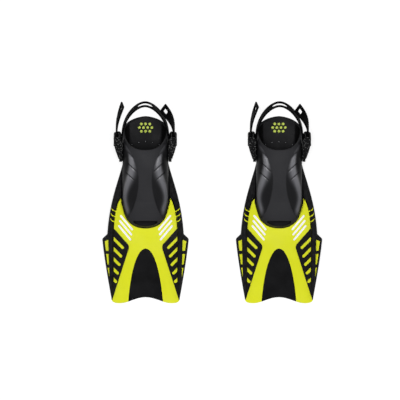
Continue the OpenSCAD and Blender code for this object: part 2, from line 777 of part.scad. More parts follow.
module left_fin() {
    translate([-fin_spacing / 2, 0, 0])
        children();
}
module right_fin() {
    translate([fin_spacing / 2, 0, 0])
        children();
}
module flip() {
    mirror([1, 0, 0])
        children();
}
left_fin() foot_pocket();  // left_foot_pocket
left_fin() sole_plate();  // left_sole_plate
left_fin() heel_studs();  // left_heel_studs
left_fin() blade();  // left_blade
left_fin() centre_panel();  // left_centre_panel
left_fin() flip() rail();  // left_outer_rail
left_fin() rail();  // left_inner_rail
left_fin() heel_strap();  // left_heel_strap
left_fin() flip() post();  // left_outer_post
left_fin() flip() buckle_frame();  // left_outer_buckle_frame
left_fin() flip() roller();  // left_outer_roller
left_fin() flip() roller_pin();  // left_outer_roller_pin
left_fin() flip() lock_lever();  // left_outer_lock_lever
left_fin() flip() lever_pin();  // left_outer_lever_pin
left_fin() post();  // left_inner_post
left_fin() buckle_frame();  // left_inner_buckle_frame
left_fin() roller();  // left_inner_roller
left_fin() roller_pin();  // left_inner_roller_pin
left_fin() lock_lever();  // left_inner_lock_lever
left_fin() lever_pin();  // left_inner_lever_pin
right_fin() foot_pocket();  // right_foot_pocket
right_fin() sole_plate();  // right_sole_plate
right_fin() heel_studs();  // right_heel_studs
right_fin() blade();  // right_blade
right_fin() centre_panel();  // right_centre_panel
right_fin() flip() rail();  // right_inner_rail
right_fin() rail();  // right_outer_rail
right_fin() heel_strap();  // right_heel_strap
right_fin() flip() post();  // right_inner_post
right_fin() flip() buckle_frame();  // right_inner_buckle_frame
right_fin() flip() roller();  // right_inner_roller
right_fin() flip() roller_pin();  // right_inner_roller_pin
right_fin() flip() lock_lever();  // right_inner_lock_lever
right_fin() flip() lever_pin();  // right_inner_lever_pin
right_fin() post();  // right_outer_post
right_fin() buckle_frame();  // right_outer_buckle_frame
right_fin() roller();  // right_outer_roller
right_fin() roller_pin();  // right_outer_roller_pin
right_fin() lock_lever();  // right_outer_lock_lever
right_fin() lever_pin();  // right_outer_lever_pin
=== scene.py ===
import json
import math
from collections import namedtuple

import bmesh
import bpy
from bpy.props import FloatProperty, FloatVectorProperty, PointerProperty
from mathutils import Matrix, Vector

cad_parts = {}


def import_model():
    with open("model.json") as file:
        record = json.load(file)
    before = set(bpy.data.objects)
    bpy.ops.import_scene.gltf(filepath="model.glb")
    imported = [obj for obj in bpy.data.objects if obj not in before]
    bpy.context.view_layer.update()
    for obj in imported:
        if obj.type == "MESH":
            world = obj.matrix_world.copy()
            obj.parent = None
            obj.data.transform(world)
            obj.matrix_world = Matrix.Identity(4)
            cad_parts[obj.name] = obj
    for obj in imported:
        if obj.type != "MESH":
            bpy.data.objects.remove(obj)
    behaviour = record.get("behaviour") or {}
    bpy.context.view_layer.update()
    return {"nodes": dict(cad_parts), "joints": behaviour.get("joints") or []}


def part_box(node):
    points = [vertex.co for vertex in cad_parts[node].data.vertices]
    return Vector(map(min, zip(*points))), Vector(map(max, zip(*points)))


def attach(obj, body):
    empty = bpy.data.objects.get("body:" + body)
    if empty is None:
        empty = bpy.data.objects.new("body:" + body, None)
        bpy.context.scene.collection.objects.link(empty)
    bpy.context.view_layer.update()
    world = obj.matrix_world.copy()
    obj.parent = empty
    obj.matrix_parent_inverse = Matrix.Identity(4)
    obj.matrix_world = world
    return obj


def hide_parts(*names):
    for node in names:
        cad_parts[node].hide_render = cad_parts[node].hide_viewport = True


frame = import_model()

bl_info = {
    "name": "Snorkelling Fins",
    "version": (1, 0, 0),
    "blender": (4, 5, 0),
    "location": "View3D > Sidebar > Fins",
    "description": "Dresses a pair of open-heel snorkelling fins and sets a studio round them",
    "category": "Object",
}

# What the frame says: its box, its nodes and where each fin and strap loop sits
NODES = frame["nodes"]
JOINTS = {joint["name"]: joint for joint in frame["joints"]}
FINS = ("left", "right")
SIDES = ("outer", "inner")
FIN_X = {fin: JOINTS[f"{fin}_strap_swing"]["pos_m"][0] for fin in FINS}
POST_Y, POST_Z = JOINTS["left_strap_swing"]["pos_m"][1:]
ROLLER_PLACE = Vector(JOINTS["left_inner_roller_spin"]["pos_m"])
LOOP_ACROSS = Vector(JOINTS["left_inner_roller_spin"]["axis"])
LOOP_ALONG = Vector((0.0, LOOP_ACROSS.z, -LOOP_ACROSS.y))
ROLLER_X = JOINTS["left_inner_roller_spin"]["pos_m"][0] - FIN_X["left"]
ROLLER_REACH = (ROLLER_PLACE - Vector((0, POST_Y, POST_Z))).dot(LOOP_ALONG)
BLADE_REACH = -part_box("left_blade")[0].y
HEEL_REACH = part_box("left_foot_pocket")[1].y

# Sizes of the solids that the visible surfaces follow, in metres
BLADE_T, COVER_T, SOLE_T, SEAT_GAP = 0.0035, 0.0015, 0.0035, 0.00025
WEB_RISE, FLAT_Y = 0.012, 0.070
BALL_W, POCKET_W, TOE_LEN, BALL_Y, WAIST_Y = 0.0976, 0.0972, 0.055, 0.0, 0.082
TOE_POWER, TOE_DROP_POWER = 2.25, 8
INSTEP_H, BALL_H, TOE_H, HEEL_H = 0.080, 0.050, 0.032, 0.046
SHELL_T, BED_T = 0.0035, 0.004
LIP_REACH, LIP_SIDE_Y, LIP_POWER = 0.111, 0.157, 1.1
HEEL_TAPER, HEEL_TAPER_Y, HEEL_TAPER_POWER = 0.003, 0.140, 1.5
UPPER_POWER, LOWER_POWER, BULGE = 2.5, 4.0, 0.32
DRAIN_W, DRAIN_LEN, DRAIN_RIM = 0.051, 0.011, 0.0032
STRAP_W, STRAP_T, STRAP_REACH = 0.024, 0.0034, 0.1245
CHEEK_LEN, TOOTH_PITCH = 0.051, 0.004

# Points of a solid closer than this are one, and faces that turn less than the flat angle are one
SOLID_MERGE, COVER_MERGE = 2e-6, 5e-6
FLAT_ANGLE, STUD_FLAT_ANGLE = 1.0, 0.1
SEAM_MERGE, SEAM_SLIVER = 1e-6, 1e-7
SHARP_ANGLE, CORNER_ANGLE = 50.0, 28.0


def clamp(value):
    """Keeps a value between 0 and 1."""
    return max(0.0, min(1.0, value))


def ease(value):
    """A smooth step from 0 to 1."""
    t = clamp(value)
    return t * t * (3 - 2 * t)


def hump(distance, width):
    """A smooth hump, 1 at the middle."""
    return math.exp(-(distance / width) ** 2)


def signed_power(value, power):
    """A power that keeps the sign."""
    return math.copysign(abs(value) ** power, value)


def bezier(points, t):
    """A point on a cubic curve."""
    a, b, c, d = (Vector(p) for p in points)
    s = 1 - t
    return a * s ** 3 + b * (3 * s * s * t) + c * (3 * s * t * t) + d * t ** 3


def rise(y):
    """How far the blade has risen off the floor, from 0 to 1."""
    return (1 - math.cos(2 * math.pi * clamp((FLAT_Y - y) / (FLAT_Y + BLADE_REACH)))) / 2


def web_z(y):
    """Height of the blade's lower face."""
    return WEB_RISE * rise(y)


def cover_z(y):
    """Height of the soft cover's upper face."""
    return web_z(y) + BLADE_T + COVER_T


def distance_to_segment(point, start, end):
    """Distance in plan from a point to a straight stroke."""
    along = end - start
    t = clamp((point - start).dot(along) / along.length_squared)
    return (point - start - along * t).length


def sizes():
    """The sizes that a user can change."""
    return bpy.context.scene.fin_sizes


# Mesh helpers
def everything(bm):
    """All points, edges and faces of a mesh."""
    return bm.verts[:] + bm.edges[:] + bm.faces[:]


def outward(bm):
    """Turns a mesh's faces outwards."""
    bmesh.ops.recalc_face_normals(bm, faces=bm.faces)
    return bm


def surface(columns, rows, shape, **stored):
    """A grid moved to shape(u, v), with values stored on its points and its seams and poles closed."""
    bm = bmesh.new()
    bmesh.ops.create_grid(bm, x_segments=columns, y_segments=rows, size=1.0)
    layers = {bm.verts.layers.float.new(name): value for name, value in stored.items()}
    for vert in bm.verts:
        u, v = (vert.co.x + 1) / 2, (vert.co.y + 1) / 2
        for layer, value in layers.items():
            vert[layer] = value(u, v)
        vert.co = shape(u, v)
    bmesh.ops.remove_doubles(bm, verts=bm.verts, dist=SEAM_MERGE)
    bmesh.ops.dissolve_degenerate(bm, dist=SEAM_SLIVER, edges=bm.edges)
    return outward(bm)


def linked(name, data):
    """A new object of the scene."""
    obj = bpy.data.objects.new(name, data)
    bpy.context.scene.collection.objects.link(obj)
    return obj


def finished(bm, name, material):
    """Turns a bmesh into a smooth-shaded object of the scene."""
    mesh = bpy.data.meshes.new(name)
    bm.to_mesh(mesh)
    bm.free()
    mesh.polygons.foreach_set("use_smooth", [True] * len(mesh.polygons))
    mesh.set_sharp_from_angle(angle=math.radians(SHARP_ANGLE))
    mesh.materials.append(material)
    return linked(name, mesh)


def solid_mesh(node):
    """A copy of a node's mesh."""
    bm = bmesh.new()
    bm.from_mesh(NODES[node].data)
    return bm


def flat_joined(bm, flat=FLAT_ANGLE):
    """Joins up the flat faces of a mesh."""
    bmesh.ops.dissolve_limit(bm, angle_limit=math.radians(flat), verts=bm.verts, edges=bm.edges)
    return bm


def node_copy(node, flat=FLAT_ANGLE):
    """A merged copy of a node's mesh, with its flat faces joined up."""
    bm = solid_mesh(node)
    bmesh.ops.remove_doubles(bm, verts=bm.verts, dist=SOLID_MERGE)
    return flat_joined(bm, flat)


def bevelled(bm, edges, width, segments):
    """Rounds some edges of a mesh."""
    bmesh.ops.bevel(
        bm, geom=edges, offset=width, offset_type="OFFSET", segments=segments, profile=0.5,
        affect="EDGES", clamp_overlap=True, material=-1,
    )
    return bm


def rounded(bm, width):
    """Rounds every edge that turns more than the corner angle."""
    limit = math.radians(CORNER_ANGLE)
    edges = [e for e in bm.edges if e.is_manifold and e.calc_face_angle(0.0) > limit]
    return bevelled(bm, edges, width, segments=2)


def moved(bm, x):
    """Shifts a fin-centred mesh to its fin."""
    bmesh.ops.translate(bm, verts=bm.verts, vec=(x, 0.0, 0.0))
    return bm


def joined(first, second):
    """Adds one mesh to another."""
    extra = bpy.data.meshes.new("extra")
    second.to_mesh(extra)
    second.free()
    first.from_mesh(extra)
    bpy.data.meshes.remove(extra)
    return first


def seated(obj, body, slot, *nodes):
    """Makes a piece ride on a body and stand for its nodes; the slot it is given is not used."""
    weighted = obj.modifiers.new("even_shading", "WEIGHTED_NORMAL")
    weighted.keep_sharp = True
    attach(obj, body)
    if nodes:
        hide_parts(*nodes)


def piece(bm, name, body, slot, *nodes):
    """Makes an object with a slot's finish and seats it."""
    seated(finished(bm, name, finish(slot)), body, slot, *nodes)


def node_piece(node, name, body, slot, edge):
    """A node's own solid with its edges rounded, seated in its place."""
    piece(rounded(node_copy(node), edge), name, body, slot, node)


def cut_away(obj, cutter):
    """Cuts one closed mesh out of another and keeps the result."""
    cut = obj.modifiers.new("cut", "BOOLEAN")
    cut.operation = "DIFFERENCE"
    cut.solver = "EXACT"
    cut.object = cutter
    result = bpy.data.meshes.new_from_object(obj.evaluated_get(bpy.context.evaluated_depsgraph_get()))
    result.name = obj.data.name
    obj.modifiers.remove(cut)
    obj.data = result
    bpy.data.objects.remove(cutter)


# Finishes. Scales count features in a metre, and depths are in metres.
Finish = namedtuple("Finish", "colour shade rubbed fresh grain depth gloss clouds metal", defaults=(0.0,))
FINISHES = {
    "blade_plastic": Finish("blade_yellow", 0.92, 0.36, 0.5, 1400.0, 0.00004, 0.08, 9.0),
    "rail_rubber": Finish("rail_black", 0.6, 0.5, 0.65, 1100.0, 0.00008, 0.07, 22.0),
    "panel_rubber": Finish("rail_black", 0.5, 0.6, 0.75, 700.0, 0.0001, 0.06, 40.0),
    "sole_rubber": Finish("rail_black", 0.7, 0.6, 0.8, 700.0, 0.00015, 0.15, 25.0),
    "stud_rubber": Finish("stud_lime", 0.82, 0.45, 0.6, 900.0, 0.0001, 0.35, 60.0),
    "strap_rubber": Finish("strap_black", 0.6, 0.55, 0.7, 1000.0, 0.00006, 0.015, 30.0),
    "buckle_plastic": Finish("buckle_black", 0.7, 0.4, 0.55, 480.0, 0.0003, 0.09, 40.0),
    "lever_plastic": Finish("buckle_black", 0.8, 0.4, 0.55, 600.0, 0.0003, 0.09, 50.0),
    "roller_plastic": Finish("pocket_grey", 0.8, 0.2, 0.32, 1600.0, 0.00002, 0.5, 60.0),
    "pin_steel": Finish("pin_steel", 0.8, 0.22, 0.38, 2000.0, 0.00001, 0.5, 90.0, 1.0),
    "pocket_rubber": Finish("pocket_grey", 0.85, 0.5, 0.65, 620.0, 0.0001, 0.06, 16.0),
}
GRAIN_STRENGTH, PEBBLE_SHARE, FINE_SHARE, FINE_SCALE = 0.6, 0.7, 0.5, 1.7
CLOUD_SHARE, SPECK_SHARE, SPECK_SCALE = 0.75, 0.45, 26.0
PATCH_SCALE, SCUFF_SCALE, SCUFF_STRETCH, SCUFF_SHARE = 30.0, 220.0, (1.0, 0.12, 1.0), 0.6
WEAR_SCALE, WEAR, WORN_LIFT, WORN_GAIN = 140.0, 0.12, 0.03, 1.6
# Painted light: the blade's yellow turns lighter towards the foot, to make up for the pocket's shade
PAINTED_LIGHT_FROM, PAINTED_LIGHT_TO, PAINTED_LIGHT_SHARE, PAINTED_LIGHT_TONE = -0.095, -0.010, 0.7, 1.28
# Painted glints: small light grey dots on the buckles and levers, for their highlights
GLINT_SCALE, GLINT_SIZE, GLINT_EDGE, GLINT_GREY = 260.0, 0.22, 0.34, 0.1
# The pocket's sides: a darker tone, and a painted highlight, a lighter grey laid over the side swells
SIDE_TONE, SIDE_SHADE, PAINTED_HIGHLIGHT_TONE, PAINTED_HIGHLIGHT_SHARE = 0.42, 0.8, 6.0, 0.8
# Painted shade: the near-black tone laid where the pocket lies in its own shade
SHADED_TONE, COAT_ROUGHNESS, SIDE_GRAIN = 0.06, 0.36, 0.3
COLOUR, VALUE = "NodeSocketColor", "NodeSocketFloat"
EFFECTS = {}


def fill(tree, node, inputs):
    """Gives inputs of a node links from sockets, or plain values."""
    for label, source in inputs.items():
        if isinstance(source, bpy.types.NodeSocket):
            tree.links.new(source, node.inputs[label])
        else:
            node.inputs[label].default_value = source


def added(tree, kind, inputs, output=0, **settings):
    """Adds a shader node with its settings and inputs, and gives one of its outputs."""
    node = tree.nodes.new(f"ShaderNode{kind}")
    for name, value in settings.items():
        setattr(node, name, value)
    fill(tree, node, inputs)
    return node.outputs[output]


def effect(name, result, **inputs):
    """A new shader node group that makes a colour or a value, what it is given and where its result goes."""
    group = bpy.data.node_groups.new(name, "ShaderNodeTree")
    for label, kind in inputs.items():
        group.interface.new_socket(label, in_out="INPUT", socket_type=kind)
    group.interface.new_socket("Result", in_out="OUTPUT", socket_type=result)
    return group, group.nodes.new("NodeGroupInput").outputs, group.nodes.new("NodeGroupOutput").inputs[0]


def use_effect(tree, maker, **inputs):
    """Places a shared effect in a material with its own inputs."""
    if maker.__name__ not in EFFECTS:
        EFFECTS[maker.__name__] = maker()
    return added(tree, "Group", inputs, node_tree=EFFECTS[maker.__name__])


def blended(tree, kind, factor, first, second):
    """A mix of two sockets or values by a factor socket."""
    start, end, result = {"FLOAT": (2, 3, 0), "RGBA": (6, 7, 2)}[kind]
    return added(tree, "Mix", {0: factor, start: first, end: second}, result, data_type=kind)


def object_coords(tree):
    """The piece's Object coordinates."""
    return added(tree, "TexCoord", {}, "Object")


def noise(tree, scale, detail, stretch=None):
    """Noise on Object coordinates; the scale is a socket or a value."""
    coords = object_coords(tree)
    if stretch:
        coords = added(tree, "Mapping", {"Vector": coords, "Scale": stretch})
    return added(tree, "TexNoise", {"Vector": coords, "Scale": scale, "Detail": detail}, "Fac")


def cell_distance(tree, scale):
    """Distance to the middle of the nearest of many cells, on Object coordinates."""
    return added(tree, "TexVoronoi", {"Vector": object_coords(tree), "Scale": scale}, "Distance")


def axis_of(tree, axis):
    """One axis of the Object coordinates."""
    return added(tree, "SeparateXYZ", {"Vector": object_coords(tree)}, axis)


def ramped(tree, value, low, high, to_low=0.0, to_high=1.0):
    """A smooth map of a value from one range to another."""
    ranges = {"Value": value, "From Min": low, "From Max": high, "To Min": to_low, "To Max": to_high}
    return added(tree, "MapRange", ranges, "Result", interpolation_type="SMOOTHSTEP")


def math_node(tree, operation, first, second):
    """A sum, product or the like of two sockets or values."""
    return added(tree, "Math", {0: first, 1: second}, operation=operation)


def attribute(tree, name):
    """A value stored on the piece's own points."""
    return added(tree, "Attribute", {}, "Fac", attribute_name=name)


def mould_grain():
    """Fine pebbled grain left by the mould, as a height."""
    group, given, result = effect("mould_grain", VALUE, Scale=VALUE)
    pebbles = math_node(group, "SUBTRACT", 1.0, cell_distance(group, given["Scale"]))
    fine = noise(group, math_node(group, "MULTIPLY", given["Scale"], FINE_SCALE), detail=2.0)
    coarse_part = math_node(group, "MULTIPLY", pebbles, PEBBLE_SHARE)
    fine_part = math_node(group, "MULTIPLY", fine, FINE_SHARE)
    group.links.new(math_node(group, "ADD", coarse_part, fine_part), result)
    return group


def tone_patches():
    """Slow cloudy change between two tones, with finer specks."""
    group, given, result = effect("tone_patches", COLOUR, Tone=COLOUR, Shade=COLOUR, Scale=VALUE)
    cloud = ramped(group, noise(group, given["Scale"], detail=5.0), low=0.32, high=0.68)
    specks = noise(group, math_node(group, "MULTIPLY", given["Scale"], SPECK_SCALE), detail=2.0)
    speck = ramped(group, specks, low=0.45, high=0.75, to_high=SPECK_SHARE)
    mask = math_node(group, "MAXIMUM", math_node(group, "MULTIPLY", cloud, CLOUD_SHARE), speck)
    group.links.new(blended(group, "RGBA", mask, given["Tone"], given["Shade"]), result)
    return group


def handled_sheen():
    """Roughness that wanders between a rubbed and a fresh value, with fine lengthwise scuffs."""
    group, given, result = effect("handled_sheen", VALUE, Rubbed=VALUE, Fresh=VALUE)
    patch = ramped(group, noise(group, PATCH_SCALE, detail=6.0), low=0.35, high=0.65)
    scuffs = noise(group, SCUFF_SCALE, detail=3.0, stretch=SCUFF_STRETCH)
    scuff = ramped(group, scuffs, low=0.6, high=0.75, to_high=SCUFF_SHARE)
    mask = math_node(group, "MAXIMUM", patch, scuff)
    group.links.new(blended(group, "FLOAT", mask, given["Rubbed"], given["Fresh"]), result)
    return group


def tint(colour, factor):
    """A colour made lighter or darker, with full alpha."""
    return tuple(clamp(part * factor) for part in colour) + (1.0,)


def over_base(tree, shader, factor, colour):
    """Lays a colour over a shader's base colour by a factor."""
    base = shader.inputs["Base Color"]
    tree.links.new(blended(tree, "RGBA", factor, base.links[0].from_socket, colour), base)


def worn_crests(tree, shader, colour):
    """Rubs the crests of the ribs lighter, in broken patches."""
    broken = ramped(tree, noise(tree, WEAR_SCALE, detail=5.0), low=0.4, high=0.62)
    crest = math_node(tree, "MULTIPLY", attribute(tree, "crest"), WEAR)
    worn = tint([part + WORN_LIFT for part in colour], WORN_GAIN)
    over_base(tree, shader, math_node(tree, "MULTIPLY", crest, broken), worn)


def painted_light_to_foot(tree, shader, colour):
    """Paints light on the blade's plastic: a little paler towards the foot, to make up for the pocket's
    shade.
    """
    painted_light_mask = ramped(tree, axis_of(tree, "Y"), PAINTED_LIGHT_FROM, PAINTED_LIGHT_TO, to_high=PAINTED_LIGHT_SHARE)
    over_base(tree, shader, painted_light_mask, tint(colour, PAINTED_LIGHT_TONE))


def painted_glints(tree, shader, colour):
    """Lays small light dots over a finish: painted glints, for the highlights on the buckles' moulded ribs.
    """
    glints = ramped(tree, cell_distance(tree, GLINT_SCALE), GLINT_SIZE, GLINT_EDGE, to_low=1.0, to_high=0.0)
    over_base(tree, shader, glints, (GLINT_GREY, GLINT_GREY, GLINT_GREY, 1.0))


def glossy_sides_and_painted_light(tree, shader, colour):
    """Keeps the finish on the instep panel; gives the sides a darker tone, more gloss, a painted highlight
    and painted shade.
    """
    panel, shine, shade = (attribute(tree, label) for label in ("panel", "shine", "shade"))
    base = shader.inputs["Base Color"]
    side, side_shade = tint(colour, SIDE_TONE), tint(colour, SIDE_SHADE * SIDE_TONE)
    clouds = FINISHES["pocket_rubber"].clouds
    dark = use_effect(tree, tone_patches, Tone=side, Shade=side_shade, Scale=clouds)
    tree.links.new(blended(tree, "RGBA", panel, dark, base.links[0].from_socket), base)
    # Painted highlight: a lighter grey over the side swells and the collar, for the side lamps' reflection
    over_base(tree, shader, math_node(tree, "MULTIPLY", shine, PAINTED_HIGHLIGHT_SHARE), tint(colour, PAINTED_HIGHLIGHT_TONE))
    # Painted shade: near black where the pocket lies in its own shade
    over_base(tree, shader, shade, tint(colour, SHADED_TONE))
    fill(tree, shader, {"Coat Weight": shine, "Coat Roughness": COAT_ROUGHNESS})
    bump = shader.inputs["Normal"].links[0].from_node
    grain = bump.inputs["Height"].links[0].from_socket
    deep = ramped(tree, panel, 0.0, 1.0, to_low=SIDE_GRAIN)
    fill(tree, bump, {"Height": math_node(tree, "MULTIPLY", grain, deep)})


EXTRAS = {
    "rail_rubber": worn_crests,
    "blade_plastic": painted_light_to_foot,
    "buckle_plastic": painted_glints,
    "lever_plastic": painted_glints,
    "pocket_rubber": glossy_sides_and_painted_light,
}


def clouded(name, colour, shade, clouds):
    """A new material whose colour wanders between a tone and its shade, with its nodes and shader."""
    material = bpy.data.materials.new(name)
    material.use_nodes = True
    tree = material.node_tree
    shader = tree.nodes["Principled BSDF"]
    tones = {"Tone": tint(colour, 1.0), "Shade": tint(colour, shade)}
    fill(tree, shader, {"Base Color": use_effect(tree, tone_patches, Scale=clouds, **tones)})
    return material, tree, shader


def finish(slot):
    """A slot's moulded or metal finish: clouded colour, wandering sheen, grain and what is its own."""
    label = f"{slot}_finish"
    if label in bpy.data.materials:
        return bpy.data.materials[label]
    look = FINISHES[slot]
    colour = getattr(bpy.context.scene.fin_colours, look.colour)
    material, tree, shader = clouded(label, colour, look.shade, look.clouds)
    grain = use_effect(tree, mould_grain, Scale=look.grain)
    bump = {"Strength": GRAIN_STRENGTH, "Distance": look.depth, "Height": grain}
    fill(tree, shader, {
        "Roughness": use_effect(tree, handled_sheen, Rubbed=look.rubbed, Fresh=look.fresh),
        "Normal": added(tree, "Bump", bump),
        "Specular IOR Level": look.gloss,
        "Metallic": look.metal,
    })
    if slot in EXTRAS:
        EXTRAS[slot](tree, shader, colour)
    return material


# Foot pocket, with y along the fin, x across it and lengths in metres
POCKET_GRID, BEAD_GRID, DRAIN_SEGMENTS = (240, 250), (16, 120), 96
PANEL_WAIST, PANEL_WAIST_Y = 0.0142, 0.045
PANEL_SPREAD_UP, PANEL_SPREAD_DOWN = 4.7, 3.56
PANEL_EDGE = 0.0026
SWELL_LINE = ((-0.034, 0.0375), (0.009, 0.0445), (0.079, 0.0298), (0.108, 0.0325))
SWELL_W, SWELL_SPREAD, SWELL_WIDEST_Y, SWELL_WIDE_LEN = 0.0047, 0.0043, 0.058, 0.028
SWELL_TOP, SWELL_OUTER, LOW_SWELL_DULL = (0.0361, 0.1042), 0.6, 0.48
SWELL_FOOT_FADE, SWELL_TOP_FADE, SHINE_GAIN = 0.02, 0.004, 1.2
VALLEY_X, VALLEY_W, VALLEY_Y, VALLEY_LEN = 0.030, 0.009, 0.002, 0.032
WELT, WELT_START, WELT_END, WELT_TURN = 0.0022, 0.096, 0.132, 0.3
SIDE_PAD, SIDE_PAD_START = 0.0006, 0.004
BUCKLE_PAD, BUCKLE_PAD_START = 0.0004, 0.086
PAD_END, PAD_FADE = 0.121, 0.014
GROOVE_STARTS = ((0.0366, 0.0827), (0.0406, 0.0633))
GROOVE_RUN, GROOVE_W = Vector((0.0170, 0.0168)), 0.0011
# The collar along the lip: its width, its fade, and its share of the gloss and the painted highlight
COLLAR_W, COLLAR_FADE, COLLAR_HIGHLIGHT_SHARE = 0.012, 0.010, 0.2
COLLAR_GAIN, COLLAR_LEVEL = 2.2, 0.45
BED_HALF, BED_FADE, BED_RUN = 0.0325, 0.003, 0.02
# Painted shade on the margin below the side swells
MARGIN_SHADE, MARGIN_START = 0.7, 0.6
INNER_LOWER_POWER = 2.0
STEEP_POWER, STEEP_FADE = 10.0, 0.02
UNDERCUT, LEAST_HEIGHT, LEAST_ROOM = 0.0015, 0.002, 0.006
RELIEF_TURN, RELIEF_FADE, RELIEF_LEAST = 0.35, 0.02, 0.002
UPPER_SHARE, OUTER_SHARE, LIP_SHARE = 0.7, 0.62, 0.06
ROW_POWER, LIP_STEP = 1.5, 0.004
TOE_CLOSE, TOE_POLE_UP = 0.9995, 0.003
BEAD_TOE_SHARE, BEAD_RISE, BEAD_OUT, BEAD_UP = 0.9, 0.015, 0.5, 0.4
BEAD_THIN, BEAD_THIN_PLACE, BEAD_THIN_RUN = 0.65, 0.77, 0.12
BEAD_SIDE, BEAD_SIDE_PLACE, BEAD_SIDE_RUN = 0.95, 0.9, 0.1
NUB_PITCH, NUB_Y, NUB_BOW, NUB_FLAT = 0.0146, 0.1295, 0.0015, 0.6


def floor_z(y):
    """Height of the pocket's underside."""
    return web_z(y) + SOLE_T + SEAT_GAP


def pocket_half(y, inset=0.0):
    """Half width of the pocket in plan."""
    if y < BALL_Y:
        run = min(1.0, (BALL_Y - y) / (TOE_LEN - inset))
        return (BALL_W / 2 - inset) * (1 - run ** TOE_POWER) ** (1 / TOE_POWER)
    if y < HEEL_TAPER_Y:
        return BALL_W / 2 - inset - (BALL_W - POCKET_W) / 2 * ease((y - BALL_Y) / (WAIST_Y - BALL_Y))
    back = (y - HEEL_TAPER_Y) / (HEEL_REACH - HEEL_TAPER_Y)
    return POCKET_W / 2 - inset - HEEL_TAPER * back ** HEEL_TAPER_POWER


def pocket_height(y):
    """Height of the pocket above its underside."""
    if y > BALL_Y:
        swell = math.sin(math.pi / 2 * clamp((y - BALL_Y) / (LIP_REACH - BALL_Y)))
        fall = (INSTEP_H - HEEL_H) * ease((y - LIP_REACH) / (LIP_SIDE_Y - LIP_REACH))
        return BALL_H + (INSTEP_H - BALL_H) * swell - fall
    t = clamp((BALL_Y - y) / TOE_LEN)
    return (BALL_H + (TOE_H - BALL_H) * t) * math.sqrt(1 - t ** TOE_DROP_POWER)


def lip_y(angle):
    """Where the wall ends towards the heel, at an angle round the pocket."""
    s = math.sin(angle)
    if s > 0:
        return LIP_SIDE_Y - (LIP_SIDE_Y - LIP_REACH) * s ** LIP_POWER
    return LIP_SIDE_Y + (HEEL_REACH - LIP_SIDE_Y) * math.sqrt(1 - abs(math.cos(angle)))


def instep_panel(x, y):
    """1 on the matt instep panel, 0 on the shiny sides."""
    spread = PANEL_SPREAD_UP if y > PANEL_WAIST_Y else PANEL_SPREAD_DOWN
    half = PANEL_WAIST + spread * (y - PANEL_WAIST_Y) ** 2
    return ease((half - abs(x)) / PANEL_EDGE + 0.5)


def swell_line(y):
    """How far from the middle the shiny side swell runs, at any station."""
    for (y0, x0), (y1, x1) in zip(SWELL_LINE, SWELL_LINE[1:]):
        if y < y1:
            break
    return x0 + (x1 - x0) * ease((y - y0) / (y1 - y0))


def side_swell(x, y):
    """1 along the crest of a side swell, fading out past its ends."""
    width = SWELL_W + SWELL_SPREAD * hump(y - SWELL_WIDEST_Y, SWELL_WIDE_LEN)
    below_top = SWELL_TOP[1] - GROOVE_RUN.y / GROOVE_RUN.x * (SWELL_TOP[0] - abs(x)) - y
    ends = ease((y - SWELL_LINE[0][0]) / SWELL_FOOT_FADE) * ease(below_top / SWELL_TOP_FADE + 0.5)
    across = abs(x) - swell_line(y)
    return hump(across, width * (SWELL_OUTER if across > 0 else 1.0)) * ends


def side_grooves(x, y):
    """1 along the slanted grooves of a side."""
    here = Vector((abs(x), y))
    starts = [Vector(start) for start in GROOVE_STARTS]
    return max(hump(distance_to_segment(here, start, start - GROOVE_RUN), GROOVE_W) for start in starts)


def pocket_relief(x, y):
    """Moulded relief on the upper skin: raised panel, side swells, valleys and slanted grooves."""
    relief = sizes()
    panel = instep_panel(x, y)
    valley = hump(abs(x) - VALLEY_X, VALLEY_W) * hump(y - VALLEY_Y, VALLEY_LEN)
    lift = relief.panel_raise * panel
    lift += (1 - panel) * (relief.side_swell * side_swell(x, y) - relief.valley_depth * valley)
    return lift - relief.groove_depth * side_grooves(x, y)


def before(y, end):
    """1 up to a station, fading out past it."""
    return 1 - ease((y - end) / PAD_FADE)


def after(y, start):
    """1 well past a station, fading in from it."""
    return ease((y - start) / PAD_FADE)


def pocket_wall(angle, y, inside):
    """A point of the pocket's outer or inner wall."""
    c, s = math.cos(angle), math.sin(angle)
    inset = SHELL_T if inside else 0.0
    bed = floor_z(y) + (BED_T if inside else 0.0)
    height = max(LEAST_ROOM if inside else LEAST_HEIGHT, pocket_height(y) - inset)
    middle = BULGE * height
    half = pocket_half(y, inset)
    if not inside:
        pad = SIDE_PAD * after(y, SIDE_PAD_START) + BUCKLE_PAD * after(y, BUCKLE_PAD_START)
        half += pad * before(y, PAD_END)
    if s > 0:
        x = half * signed_power(c, 2 / UPPER_POWER)
        z = middle + (height - middle) * s ** (2 / UPPER_POWER)
    else:
        power = INNER_LOWER_POWER
        if not inside:
            power = LOWER_POWER + STEEP_POWER * (1 - ease((y - WAIST_Y) / STEEP_FADE))
            half += WELT * ease(-s / WELT_TURN) * after(y, WELT_START) * before(y, WELT_END)
        x = half * signed_power(c, 2 / power)
        z = middle - (middle + UNDERCUT) * (-s) ** (2 / power)
    point = Vector((x, y, max(bed, floor_z(y) + z)))
    if s > 0 and not inside and half > RELIEF_LEAST:
        out = Vector((x / half, 0.0, (z - middle) / (height - middle))).normalized()
        point += out * pocket_relief(x, y) * ease(s / RELIEF_TURN) * ease(half / RELIEF_FADE)
    return point


